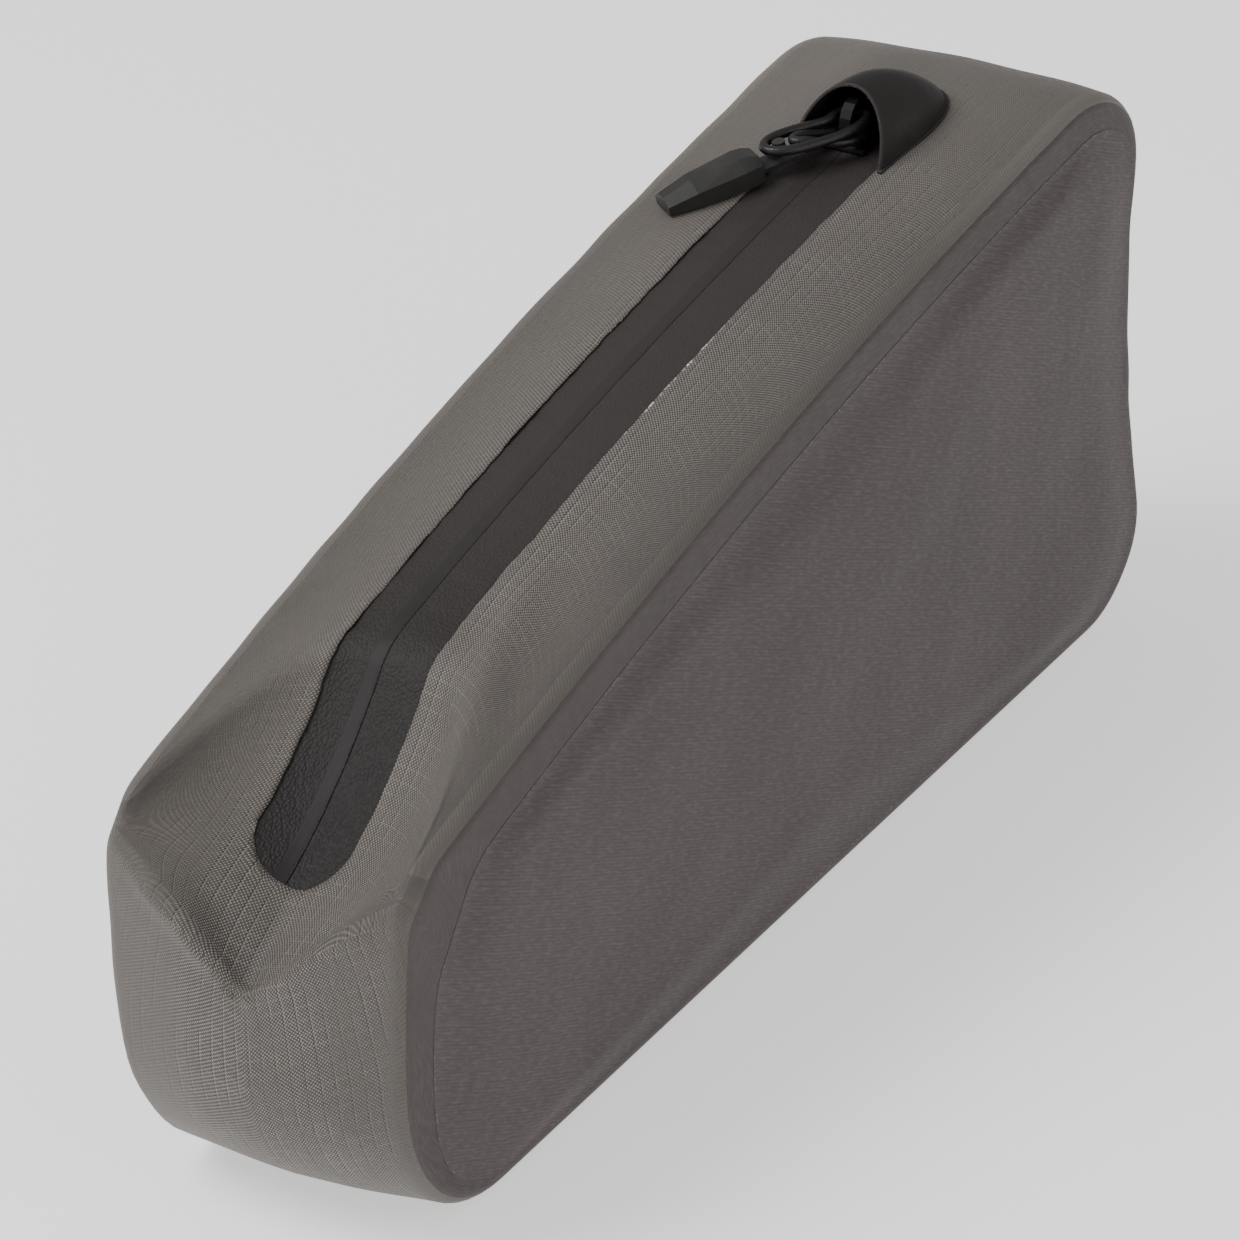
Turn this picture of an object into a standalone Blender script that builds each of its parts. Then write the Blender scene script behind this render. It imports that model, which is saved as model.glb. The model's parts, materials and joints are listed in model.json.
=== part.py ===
"""Top tube bag: a welded cloth shell with a zip along its top.

Everything is in metres, with +Z up. The bag points along X: its low tail is at -X and its tall
front end at +X. Z = 0 is the surface that it rests on, and X = 0 is halfway along it.

A cloth band runs all the way round: over the top, down the front, along the underside and up
the tail. Its edges turn in as flanges, and a flat side panel is welded on to each flange.
"""

import math
from typing import NamedTuple

import bmesh
import bpy
from mathutils import Vector

# Shell sizes
LENGTH = 0.2436
TAIL_TO_ORIGIN = 0.1208
FRONT_HEIGHT = 0.1076
TAIL_HEIGHT = 0.0680
WIDTH_TOP = 0.0574
WIDTH_BOTTOM = 0.0482
TAIL_FLARE = 0.0012
WALL = 0.0012
RIM_RADIUS = 0.0028
FLANGE_DEPTH = 0.0120

# Side panels: how far in from the rim the welded edge lies on each side of the outline
PANEL_THICKNESS = 0.0011
PANEL_BULGE = 0.0020
SEAM_TAIL = 0.0095
SEAM_TOP = 0.0094
SEAM_FRONT = 0.0026
SEAM_BOTTOM = 0.0027

# Zip
SLOT_WIDTH = 0.0164
SLOT_OFFSET = 0.0006
SLOT_SKEW = 0.0020
SLOT_TAIL = 0.0156
SLOT_FRONT = 0.2060
SLOT_END_RADIUS = 0.0068
TAPE_WIDTH = 0.0105
TAPE_THICKNESS = 0.0010
TAPE_OVERRUN = 0.0060
TAPE_CLEARANCE = 0.0010

# Hood over the slider's parking place
HOOD_MOUTH = 0.1830
HOOD_LENGTH = 0.0295
HOOD_WIDTH = 0.0184
HOOD_HEIGHT = 0.0115
HOOD_WALL = 0.0010
HOOD_RAKE = 0.52
HOOD_OFFSET = 0.0003

# Slider: body, and the bridge along it that the cords pass under
SLIDER_X = 0.1920
SLIDER_LENGTH = 0.0095
SLIDER_WIDTH = 0.0078
SLIDER_HEIGHT = 0.0024
BRIDGE_LENGTH = 0.0080
BRIDGE_WIDTH = 0.0020
BRIDGE_GAP = 0.0054
BRIDGE_WALL = 0.0011

# Pull: two cord loops and a moulded tab
CORD_DIAMETER = 0.0017
PULL_STRAIGHT = 0.0045
PULL_HEADING = 36.0
OUTER_LOOP_LENGTH = 0.0182
OUTER_LOOP_WIDTH = 0.0080
INNER_LOOP_LENGTH = 0.0133
TAB_LENGTH = 0.0172
TAB_WIDTH = 0.0078
TAB_THICKNESS = 0.0044
TAB_NECK_LENGTH = 0.0074
TAB_NECK_THICKNESS = 0.0014
TAB_POST_WIDTH = 0.0022
POST_INSET = 1.5

# Patch under the shell, for a strap to bear on
PATCH_TAIL = 0.1740
PATCH_LENGTH = 0.0360
PATCH_WIDTH = 0.0400
PATCH_THICKNESS = 0.0012
PATCH_RAMP = 0.0020

# Clearance between pieces that touch on the real bag
GAP = 0.0003


class Corner(NamedTuple):
    """One corner of the side outline.

    x is a share of LENGTH and z a share of the end's height. radius is in the same shares of
    FRONT_HEIGHT. dent_x and dent_z move the corner at the middle of the band, as shares of
    TAIL_HEIGHT, and dent_power shapes that move across it: 1 gives a sharp V and more gives a
    flat middle. inset_x and inset_z say how many seam widths the side panel's corner is in.
    """

    name: str
    end: str
    x: float
    z: float
    radius: float
    dent_x: float
    dent_z: float
    dent_radius: float
    dent_power: float
    inset_x: float
    inset_z: float


CORNERS = (
    Corner("tail_bottom", "tail", 0.000, 0.000, 0.270, 0.000, 0.00, 0.27, 1.0, 1.0, 1.0),
    Corner("crease", "tail", 0.011, 0.915, 0.055, -0.045, -0.27, 0.07, 1.0, 0.8, -1.8),
    Corner("crest", "tail", 0.040, 1.000, 0.080, 0.610, 0.13, 0.20, 3.2, 1.4, -0.6),
    Corner("front_top", "front", 0.974, 1.000, 0.200, 0.000, 0.00, 0.20, 3.2, -1.0, -1.0),
    Corner("front_bottom", "front", 1.000, 0.000, 0.160, 0.000, 0.00, 0.16, 1.0, -1.0, 1.0),
)


class Side(NamedTuple):
    """The side of the outline that follows a corner.

    bow is how far its middle stands out of a straight line, and crown how far the middle of the
    band stands out over its rims, at the side's start and at its end, all as shares of WIDTH_TOP.
    dent_bow replaces bow at the middle of the band.
    """

    name: str
    steps: int
    bow: float
    dent_bow: float
    crown: float
    crown_end: float


SIDES = (
    Side("tail", 5, 0.008, 0.004, 0.036, 0.030),
    Side("tail_crease", 7, 0.000, -0.060, 0.030, 0.060),
    Side("top", 17, 0.072, 0.054, 0.066, 0.012),
    Side("front", 7, -0.055, -0.055, 0.020, 0.030),
    Side("underside", 12, 0.000, 0.000, 0.000, 0.000),
)
ARC_STEPS = 5
BEZIER_QUARTER = 0.5523

# Where the band's points lie across it, as shares of half its width
ACROSS = (1.0, 0.80, 0.60, 0.40, 0.20, 0.0, -0.20, -0.40, -0.60, -0.80, -1.0)
RIM_ANGLES = (30.0, 60.0)
PANEL_RINGS = (1.0, 0.90, 0.60, 0.30)
PANEL_MIDDLE = (0.55, 0.42)
FLANGE_RADII = (0.168, 0.12, 0.12, 0.12, 0.12)
PANEL_RADII = (0.19, 0.12, 0.14, 0.22, 0.15)


def clear_scene():
    for obj in list(bpy.data.objects):
        bpy.data.objects.remove(obj, do_unlink=True)


def fabric(name, colour, roughness, metallic=0.0):
    material = bpy.data.materials.new(name)
    material.use_nodes = True
    shader = material.node_tree.nodes["Principled BSDF"]
    shader.inputs["Base Color"].default_value = (*colour, 1.0)
    shader.inputs["Roughness"].default_value = roughness
    shader.inputs["Metallic"].default_value = metallic
    return material


def add_object(name, mesh_data, material, smooth_angle=40.0):
    """Put a mesh in the scene as one named piece."""
    obj = bpy.data.objects.new(name, mesh_data)
    bpy.context.collection.objects.link(obj)
    obj.data.materials.append(material)
    mesh_data.shade_smooth()
    mesh_data.set_sharp_from_angle(angle=math.radians(smooth_angle))
    return obj


def mesh_from_faces(name, points, faces):
    data = bpy.data.meshes.new(name)
    shape = bmesh.new()
    corners = [shape.verts.new(point) for point in points]
    for face in faces:
        shape.faces.new([corners[index] for index in face])
    bmesh.ops.recalc_face_normals(shape, faces=shape.faces)
    shape.to_mesh(data)
    shape.free()
    return data


def apply_modifiers(obj):
    """Replace an object's mesh by what its modifiers make of it."""
    graph = bpy.context.evaluated_depsgraph_get()
    data = bpy.data.meshes.new_from_object(obj.evaluated_get(graph))
    obj.modifiers.clear()
    obj.data = data


# Outline of the bag from the side


def end_height(end):
    return TAIL_HEIGHT if end == "tail" else FRONT_HEIGHT


def corner_points(dented=False, depth=None, seams=None):
    """The five corners as (x, z), with x from the tail.

    dented gives the middle of the band. depth moves them in by one width all round, and seams by
    the four widths of the side panel's seam.
    """
    found = []
    for corner in CORNERS:
        x = corner.x * LENGTH
        z = corner.z * end_height(corner.end)
        if dented:
            x += corner.dent_x * TAIL_HEIGHT
            z += corner.dent_z * TAIL_HEIGHT
        if depth is not None:
            x += corner.inset_x * depth
            z += corner.inset_z * depth
        if seams is not None:
            tail, top, front, bottom = seams
            x += corner.inset_x * (tail if corner.end == "tail" else front)
            z += corner.inset_z * (bottom if corner.name.endswith("bottom") else top)
        found.append(Vector((x, z)))
    return found


def outline(corners, radii, bows):
    """A closed outline as (x, z) stations, clockwise from the underside's tail corner.

    Each corner is a Bezier arc and each side a shallow bow, which the arcs meet smoothly.
    """
    count = len(corners)
    turns = []
    for index, corner in enumerate(corners):
        arrive = corner - corners[index - 1]
        turns.append(arrive.angle(corners[(index + 1) % count] - corner))
    reaches = [radius * math.tan(turn / 2) for radius, turn in zip(radii, turns)]
    stations = []
    for index, corner in enumerate(corners):
        after = (index + 1) % count
        arrive = (corner - corners[index - 1]).normalized()
        leave = (corners[after] - corner).normalized()
        start = corner - arrive * reaches[index]
        end = corner + leave * reaches[index]
        far = corners[after] - leave * reaches[after]
        near = corners[index - 1] + arrive * reaches[index - 1]
        handle = BEZIER_QUARTER * radii[index] * turns[index] / (math.pi / 2)
        first = start + side_slope(near, start, -bows[index - 1]) * handle
        second = end - side_slope(end, far, bows[index]) * handle
        for step in range(ARC_STEPS + 1):
            stations.append(bezier(start, first, second, end, step / ARC_STEPS))
        outward = Vector((-leave.y, leave.x))
        for share in side_shares(SIDES[index]):
            stations.append(end.lerp(far, share) + outward * bows[index] * 4 * share * (1 - share))
    return stations


def side_shares(side):
    """How far along a side each of its stations lies.

    The underside has more of them where it steps up over the patch, from front to tail.
    """
    shares = [step / side.steps for step in range(1, side.steps)]
    if side.name != "underside":
        return shares
    front = LENGTH - CORNERS[-1].radius * FRONT_HEIGHT
    span = front - CORNERS[0].radius * FRONT_HEIGHT
    tail_edge, front_edge = PATCH_TAIL, PATCH_TAIL + PATCH_LENGTH
    steps = [front_edge + 2.5 * PATCH_RAMP, front_edge + 0.5 * PATCH_RAMP]
    steps += [tail_edge - 0.5 * PATCH_RAMP, tail_edge - 2.5 * PATCH_RAMP]
    bends = [(front - x) / span for x in steps]
    apart = 0.35 / side.steps
    kept = [share for share in shares if all(abs(share - bend) > apart for bend in bends)]
    return sorted(kept + bends)


def side_slope(start, end, bow):
    """Direction of a bowed side at its start, or at its end with the bow's sign changed."""
    along = (end - start).normalized()
    outward = Vector((-along.y, along.x))
    return (along + outward * 4 * bow / (end - start).length).normalized()


def smooth_step(value):
    value = min(max(value, 0.0), 1.0)
    return value * value * (3 - 2 * value)


def bezier(a, b, c, d, share):
    rest = 1 - share
    return a * rest**3 + b * 3 * rest**2 * share + c * 3 * rest * share**2 + d * share**3


def crowns():
    """How far the middle of the band stands out over its rims, for each station."""
    found = []
    for index, side in enumerate(SIDES):
        before = SIDES[index - 1].crown_end
        for step in range(ARC_STEPS + 1):
            found.append(before + (side.crown - before) * smooth_step(step / ARC_STEPS))
        for share in side_shares(side):
            found.append(side.crown + (side.crown_end - side.crown) * share)
    return [WIDTH_TOP * share for share in found]


def dent_powers():
    """How sharply the middle's move fades towards the rims, for each station."""
    found = []
    for index, side in enumerate(SIDES):
        here = CORNERS[index].dent_power
        after = CORNERS[(index + 1) % len(CORNERS)].dent_power
        found += [here] * (ARC_STEPS + 1)
        found += [here + (after - here) * smooth_step(share) for share in side_shares(side)]
    return found


RIM = outline(
    corner_points(),
    [corner.radius * FRONT_HEIGHT for corner in CORNERS],
    [side.bow * WIDTH_TOP for side in SIDES],
)
MIDDLE = outline(
    corner_points(dented=True),
    [corner.dent_radius * FRONT_HEIGHT for corner in CORNERS],
    [side.dent_bow * WIDTH_TOP for side in SIDES],
)
FLANGE_EDGE = outline(
    corner_points(depth=FLANGE_DEPTH),
    [share * FRONT_HEIGHT for share in FLANGE_RADII],
    [side.bow * WIDTH_TOP for side in SIDES],
)
PANEL_EDGE = outline(
    corner_points(seams=(SEAM_TAIL, SEAM_TOP, SEAM_FRONT, SEAM_BOTTOM)),
    [share * FRONT_HEIGHT for share in PANEL_RADII],
    [side.bow * WIDTH_TOP for side in SIDES],
)
STATIONS = len(RIM)
CROWNS = crowns()
DENT_POWERS = dent_powers()


def outline_normal(index):
    """Outward direction of the rim's outline at a station, as (x, z)."""
    along = RIM[(index + 1) % STATIONS] - RIM[index - 1]
    return Vector((-along.y, along.x)).normalized()


# Width of the bag


def half_width(x, z):
    """Half the bag's width at a place on its side, with x from the tail."""
    across = WIDTH_BOTTOM + (WIDTH_TOP - WIDTH_BOTTOM) * z / FRONT_HEIGHT
    return across / 2 + TAIL_FLARE / 2 * (1 - 2 * x / LENGTH)


def patch_seat(x, z):
    """How far the underside steps up over the patch, so that the patch lies flush."""
    if z > RIM_RADIUS:
        return 0.0
    rise = smooth_step((x - PATCH_TAIL + 2 * PATCH_RAMP) / PATCH_RAMP)
    fall = smooth_step((PATCH_TAIL + PATCH_LENGTH + 2 * PATCH_RAMP - x) / PATCH_RAMP)
    return (PATCH_THICKNESS + GAP) * min(rise, fall)


def slot_middle(x):
    """How far the slot's middle line lies to one side, which grows a little towards the tail."""
    return SLOT_OFFSET + SLOT_SKEW * (SLOT_FRONT - x) / (SLOT_FRONT - SLOT_TAIL)


def at(x, y, z):
    """A point in the part's frame from a place measured from the tail."""
    return Vector((x - TAIL_TO_ORIGIN, y, z))


def band_point(index, share):
    """The band's outer face at a station, share of half its width from the middle."""
    rim = RIM[index]
    crowned = rim + outline_normal(index) * CROWNS[index] * (1 - share * share)
    dent = (MIDDLE[index] - rim) * (1 - abs(share) ** DENT_POWERS[index])
    spot = crowned + dent
    side = half_width(*rim) - RIM_RADIUS
    return at(spot.x, side * share, spot.y + patch_seat(spot.x, spot.y))


def flange_point(index, angle_or_depth, side, on_rim):
    """A point of the rounded rim, by its angle, or of the flange, by its share of the depth."""
    rim = RIM[index]
    inner = FLANGE_EDGE[index]
    if on_rim:
        angle = math.radians(angle_or_depth)
        inset = RIM_RADIUS * (1 - math.cos(angle))
        out = RIM_RADIUS * (1 - math.sin(angle))
    else:
        inset = RIM_RADIUS + (FLANGE_DEPTH - RIM_RADIUS) * angle_or_depth
        out = 0.0
    spot = rim.lerp(inner, inset / FLANGE_DEPTH)
    lift = patch_seat(rim.x, rim.y) * (1 - inset / FLANGE_DEPTH)
    return at(spot.x, side * (half_width(*spot) - out), spot.y + lift)


def section(index):
    """The shell's outer face at a station, from one flange's edge to the other's."""
    points = [flange_point(index, share, 1, False) for share in (1.0, 0.5, 0.0)]
    points += [flange_point(index, angle, 1, True) for angle in reversed(RIM_ANGLES)]
    points += [band_point(index, share) for share in ACROSS]
    points += [flange_point(index, angle, -1, True) for angle in RIM_ANGLES]
    points += [flange_point(index, share, -1, False) for share in (0.0, 0.5, 1.0)]
    return points


OUTER = [section(index) for index in range(STATIONS)]
ROW = len(OUTER[0])


def grid_normal(station, place):
    """Outward normal of the shell's outer face at one point of its grid."""
    ahead = OUTER[(station + 1) % STATIONS][place]
    behind = OUTER[station - 1][place]
    left = OUTER[station][max(place - 1, 0)]
    right = OUTER[station][min(place + 1, ROW - 1)]
    return (ahead - behind).cross(right - left).normalized() * -1


def below(station, place, depth):
    return OUTER[station][place] - grid_normal(station, place) * depth


def ring_mesh(name, rings):
    """A closed band from a loop of closed sections."""
    size = len(rings[0])
    points = [point for ring in rings for point in ring]
    faces = []
    for here in range(len(rings)):
        there = (here + 1) % len(rings)
        for place in range(size):
            after = (place + 1) % size
            faces.append(
                (here * size + place, here * size + after, there * size + after, there * size + place)
            )
    return mesh_from_faces(name, points, faces)


def strip_mesh(name, rings):
    """A closed bar from a row of closed sections, with both ends capped."""
    size = len(rings[0])
    points = [point for ring in rings for point in ring]
    faces = []
    for here in range(len(rings) - 1):
        for place in range(size):
            after = (place + 1) % size
            faces.append(
                (here * size + place, here * size + after, (here + 1) * size + after, (here + 1) * size + place)
            )
    last = (len(rings) - 1) * size
    faces.append(tuple(range(size)))
    faces.append(tuple(last + place for place in reversed(range(size))))
    return mesh_from_faces(name, points, faces)


def slot_cutter():
    """An upright bar with rounded ends, which cuts the zip's slot out of the top."""
    shape = bmesh.new()
    corners = []
    half = SLOT_WIDTH / 2
    ends = ((SLOT_FRONT, 1.0), (SLOT_TAIL, -1.0))
    for x, towards in ends:
        centre = x - towards * SLOT_END_RADIUS
        for side in (-towards, towards):
            for step in range(7):
                angle = math.pi / 2 * step / 6
                if side == -towards:
                    along, across = math.sin(angle), math.cos(angle)
                else:
                    along, across = math.cos(angle), math.sin(angle)
                corners.append(
                    (
                        centre + towards * SLOT_END_RADIUS * along,
                        slot_middle(x) + side * (half - SLOT_END_RADIUS + SLOT_END_RADIUS * across),
                    )
                )
    base = TAIL_HEIGHT / 2
    face = shape.faces.new([shape.verts.new(at(x, y, base)) for x, y in corners])
    raised = bmesh.ops.extrude_face_region(shape, geom=[face])
    moved = [item for item in raised["geom"] if isinstance(item, bmesh.types.BMVert)]
    bmesh.ops.translate(shape, verts=moved, vec=(0, 0, FRONT_HEIGHT))
    bmesh.ops.recalc_face_normals(shape, faces=shape.faces)
    data = bpy.data.meshes.new("slot_cutter")
    shape.to_mesh(data)
    shape.free()
    cutter = bpy.data.objects.new("slot_cutter", data)
    bpy.context.collection.objects.link(cutter)
    cutter.hide_render = True
    cutter.display_type = "WIRE"
    return cutter


def make_gusset(material):
    rings = []
    for station in range(STATIONS):
        outer = OUTER[station]
        inner = [below(station, place, WALL) for place in reversed(range(ROW))]
        rings.append(outer + inner)
    shell = add_object("gusset_shell", ring_mesh("gusset_shell", rings), material)
    cut = shell.modifiers.new("slot", "BOOLEAN")
    cut.operation = "DIFFERENCE"
    cut.solver = "EXACT"
    cut.object = slot_cutter()
    return shell


# Side panels


def panel_surface(x, z, share, side, depth):
    """A point of a side panel, depth in from its outer face. share is 1 at its edge."""
    stand = GAP + PANEL_THICKNESS - depth
    bulge = PANEL_BULGE * (1 - share * share) ** 2
    return at(x, side * (half_width(x, z) + stand + bulge), z)


def make_panel(name, side, material):
    centre = Vector((LENGTH * PANEL_MIDDLE[0], FRONT_HEIGHT * PANEL_MIDDLE[1]))
    points = []
    for depth in (0.0, PANEL_THICKNESS):
        for share in PANEL_RINGS:
            for edge in PANEL_EDGE:
                spot = centre.lerp(edge, share)
                points.append(panel_surface(spot.x, spot.y, share, side, depth))
        points.append(panel_surface(centre.x, centre.y, 0.0, side, depth))
    layer = len(PANEL_RINGS) * STATIONS + 1
    faces = []
    for index in range(STATIONS):
        after = (index + 1) % STATIONS
        faces.append((index, after, layer + after, layer + index))
        for start in (0, layer):
            for ring in range(len(PANEL_RINGS) - 1):
                first = start + ring * STATIONS
                second = first + STATIONS
                faces.append((first + index, first + after, second + after, second + index))
            last = start + (len(PANEL_RINGS) - 1) * STATIONS
            faces.append((last + index, last + after, start + layer - 1))
    return add_object(name, mesh_from_faces(name, points, faces), material)


# The top of the shell, for what is seated on it or under it


def corner_station(name):
    """The first station of a corner's arc."""
    station = 0
    for corner, side in zip(CORNERS, SIDES):
        if corner.name == name:
            return station
        station += ARC_STEPS + 1 + len(side_shares(side))
    raise KeyError(name)


def top_stations():
    """Stations from the crease over the top, tail to front."""
    return range(corner_station("crease"), corner_station("front_top") + ARC_STEPS + 1)


def top_point(place, y, depth=0.0):
    """The top's outer face, or a surface depth under it, at a fractional station."""
    index = int(place)
    share = place - index
    spot = facet_point(index, y).lerp(facet_point(index + 1, y), share)
    if depth:
        normal = top_normal(index, y).lerp(top_normal(index + 1, y), share).normalized()
        spot = spot - normal * depth
    return spot


def facet_point(station, y):
    """A point of the band's faceted outer face, y across it at a station."""
    side = half_width(*RIM[station]) - RIM_RADIUS
    share = min(max(y / side, -1.0), 1.0)
    for left, right in zip(ACROSS, ACROSS[1:]):
        if left >= share >= right:
            along = (left - share) / (left - right)
            return band_point(station, left).lerp(band_point(station, right), along)
    raise ValueError(y)


def top_normal(station, y):
    reach = 0.04 * WIDTH_TOP
    along = facet_point(station + 1, y) - facet_point(station - 1, y)
    across = facet_point(station, y + reach) - facet_point(station, y - reach)
    normal = along.cross(across)
    return normal.normalized() if normal.z > 0 else normal.normalized() * -1


def place_at(x, y=0.0):
    """The fractional station where the top is x from the tail."""
    stations = top_stations()
    for station in stations[:-1]:
        here = top_point(station, y).x + TAIL_TO_ORIGIN
        there = top_point(station + 1 - 1e-9, y).x + TAIL_TO_ORIGIN
        if here <= x <= there:
            return station + (x - here) / (there - here)
    return float(stations[-2])


def top_height(x, y):
    return top_point(place_at(x, y), y).z


# Zip


def make_tape(name, side, material):
    start = place_at(SLOT_TAIL - TAPE_OVERRUN)
    end = place_at(SLOT_FRONT + TAPE_OVERRUN)
    first = math.floor(start)
    places = [start] + [float(n) for n in range(first + 1, math.floor(end) + 1)] + [end]
    across = (GAP / 2, TAPE_WIDTH * 0.35, TAPE_WIDTH * 0.7, TAPE_WIDTH)
    face = WALL + TAPE_CLEARANCE
    rings = []
    for place in places:
        middle = slot_middle(top_point(place, 0.0).x + TAIL_TO_ORIGIN)
        upper = [top_point(place, middle + side * y, face) for y in across]
        lower = [top_point(place, middle + side * y, face + TAPE_THICKNESS) for y in reversed(across)]
        rings.append(upper + lower)
    return add_object(name, strip_mesh(name, rings), material)


def make_slider(material):
    """The slider's body with the bridge that the cords pass through."""
    body = bmesh.new()
    bmesh.ops.create_cube(body, size=1.0)
    bmesh.ops.scale(body, verts=body.verts, vec=(SLIDER_LENGTH, SLIDER_WIDTH, SLIDER_HEIGHT))
    bmesh.ops.bevel(
        body, geom=body.edges[:], affect="EDGES", offset=SLIDER_HEIGHT * 0.25, segments=2, profile=0.5
    )
    data = bpy.data.meshes.new("zip_slider")
    body.to_mesh(data)
    body.free()
    slider = add_object("zip_slider", data, material)
    slope = math.atan2(
        top_height(SLIDER_X + SLIDER_LENGTH / 2, 0.0) - top_height(SLIDER_X - SLIDER_LENGTH / 2, 0.0),
        SLIDER_LENGTH,
    )
    tape_top = top_height(SLIDER_X, 0.0) - WALL - TAPE_CLEARANCE
    bridge = make_bridge()
    join = slider.modifiers.new("bridge", "BOOLEAN")
    join.operation = "UNION"
    join.solver = "EXACT"
    join.object = bridge
    slider.location = at(SLIDER_X, SLOT_OFFSET, tape_top + 2 * GAP + SLIDER_HEIGHT / 2)
    slider.rotation_euler = (0.0, -slope, 0.0)
    bridge.location = slider.location
    bridge.rotation_euler = slider.rotation_euler
    return slider


def make_bridge():
    """An arch along the slider, extruded across it."""
    shape = bmesh.new()
    base = SLIDER_HEIGHT * 0.3
    rise = SLIDER_HEIGHT / 2 + BRIDGE_GAP
    outer = arch(BRIDGE_LENGTH / 2, rise - base + BRIDGE_WALL, base)
    inner = arch(BRIDGE_LENGTH / 2 - BRIDGE_WALL, rise - base, base)
    profile = outer + list(reversed(inner))
    face = shape.faces.new([shape.verts.new((x, -BRIDGE_WIDTH / 2, z)) for x, z in profile])
    raised = bmesh.ops.extrude_face_region(shape, geom=[face])
    moved = [item for item in raised["geom"] if isinstance(item, bmesh.types.BMVert)]
    bmesh.ops.translate(shape, verts=moved, vec=(0, BRIDGE_WIDTH, 0))
    bmesh.ops.recalc_face_normals(shape, faces=shape.faces)
    data = bpy.data.meshes.new("slider_bridge")
    shape.to_mesh(data)
    shape.free()
    bridge = bpy.data.objects.new("slider_bridge", data)
    bpy.context.collection.objects.link(bridge)
    bridge.hide_render = True
    bridge.display_type = "WIRE"
    return bridge


def arch(half, height, base, steps=10):
    """Points over an arch from +x to -x, as (x, z)."""
    found = []
    for step in range(steps + 1):
        angle = math.pi * step / steps
        found.append((half * math.cos(angle), base + height * math.sin(angle) ** 0.7))
    return found


# Hood


def hood_spot(along, angle, inner):
    """A point of the hood. along is 0 at its mouth and 1 at its back end."""
    wall = HOOD_WALL if inner else 0.0
    half = max((HOOD_WIDTH / 2) * (1 - along**5) ** 0.5 - wall, wall / 3)
    height = max(HOOD_HEIGHT * (1 - along**2.2) ** 0.7 - wall, wall / 3)
    y = half * math.cos(angle)
    up = height * math.sin(angle)
    x = HOOD_MOUTH + along * (HOOD_LENGTH - wall) + HOOD_RAKE * up * (1 - along)
    return at(x, HOOD_OFFSET + y, top_height(x, HOOD_OFFSET + y) + GAP + up)


def make_hood(material):
    """Half a dome with an arched mouth towards the tail, welded to the top."""
    alongs = [0.0, 0.16, 0.32, 0.48, 0.63, 0.77, 0.88, 0.95, 0.985]
    angles = [math.pi * step / 12 for step in range(13)]
    rings = []
    for along in alongs:
        outer = [hood_spot(along, angle, False) for angle in angles]
        inner = [hood_spot(along, angle, True) for angle in reversed(angles)]
        rings.append(outer + inner)
    return add_object("zip_garage_hood", strip_mesh("zip_garage_hood", rings), material)


# Pull


class CordSpot(NamedTuple):
    """A place on half of a cord loop: along it as a share of its length, out from its middle as a
    share of half its width, and up from the slider's deck in cord diameters."""

    along: float
    out: float
    up: float


OUTER_LOOP = (
    CordSpot(0.00, 0.10, 2.20),
    CordSpot(0.00, 0.60, 2.20),
    CordSpot(0.08, 0.92, 2.20),
    CordSpot(0.30, 0.90, 2.20),
    CordSpot(0.60, 1.05, 2.25),
    CordSpot(0.84, 0.96, 2.35),
    CordSpot(1.00, 0.42, 2.40),
)
INNER_LOOP = (
    CordSpot(0.00, 0.12, 0.85),
    CordSpot(0.00, 0.55, 0.85),
    CordSpot(0.10, 0.80, 0.88),
    CordSpot(0.34, 0.76, 0.92),
    CordSpot(0.62, 0.56, 1.50),
    CordSpot(0.86, 0.42, 2.15),
    CordSpot(0.99, 0.18, 2.25),
)


def pull_place(along, out, up):
    """A place on the pull, which leaves the bridge straight and then turns to one side."""
    heading = math.radians(PULL_HEADING)
    turned = heading * smooth_step(along / (2 * PULL_STRAIGHT))
    straight = min(along, PULL_STRAIGHT)
    rest = along - straight
    x = SLIDER_X - straight - rest * math.cos(heading) + out * math.sin(turned)
    y = SLOT_OFFSET + rest * math.sin(heading) + out * math.cos(turned)
    deck = top_height(SLIDER_X, 0.0) - WALL - TAPE_CLEARANCE + 2 * GAP + SLIDER_HEIGHT
    slope = top_height(SLIDER_X, 0.0) - top_height(SLIDER_X - OUTER_LOOP_LENGTH, 0.0)
    return at(x, y, deck + up - slope * along / OUTER_LOOP_LENGTH)


def loop_route(spots, length, width):
    """One side of a loop out from the bridge, round its end and back along the other side."""
    half = (width - CORD_DIAMETER) / 2
    sides = [(spot, 1) for spot in spots] + [(spot, -1) for spot in reversed(spots)]
    return [
        pull_place(spot.along * length, side * spot.out * half, spot.up * CORD_DIAMETER)
        for spot, side in sides
    ]


def smooth_route(route, spacing):
    """Evenly spaced points on a Catmull-Rom curve through a route."""
    fine = []
    padded = [route[0] * 2 - route[1], *route, route[-1] * 2 - route[-2]]
    for first, second, third, fourth in zip(padded, padded[1:], padded[2:], padded[3:]):
        for step in range(12):
            share = step / 12
            fine.append(
                0.5
                * (
                    2 * second
                    + (third - first) * share
                    + (2 * first - 5 * second + 4 * third - fourth) * share**2
                    + (3 * second - first - 3 * third + fourth) * share**3
                )
            )
    fine.append(route[-1])
    total = sum((b - a).length for a, b in zip(fine, fine[1:]))
    count = max(round(total / spacing), 2)
    found = [fine[0]]
    walked, target = 0.0, total / count
    for a, b in zip(fine, fine[1:]):
        step = (b - a).length
        while walked + step >= target - 1e-9 and len(found) < count:
            found.append(a.lerp(b, (target - walked) / step))
            target += total / count
        walked += step
    found.append(fine[-1])
    return found


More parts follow.
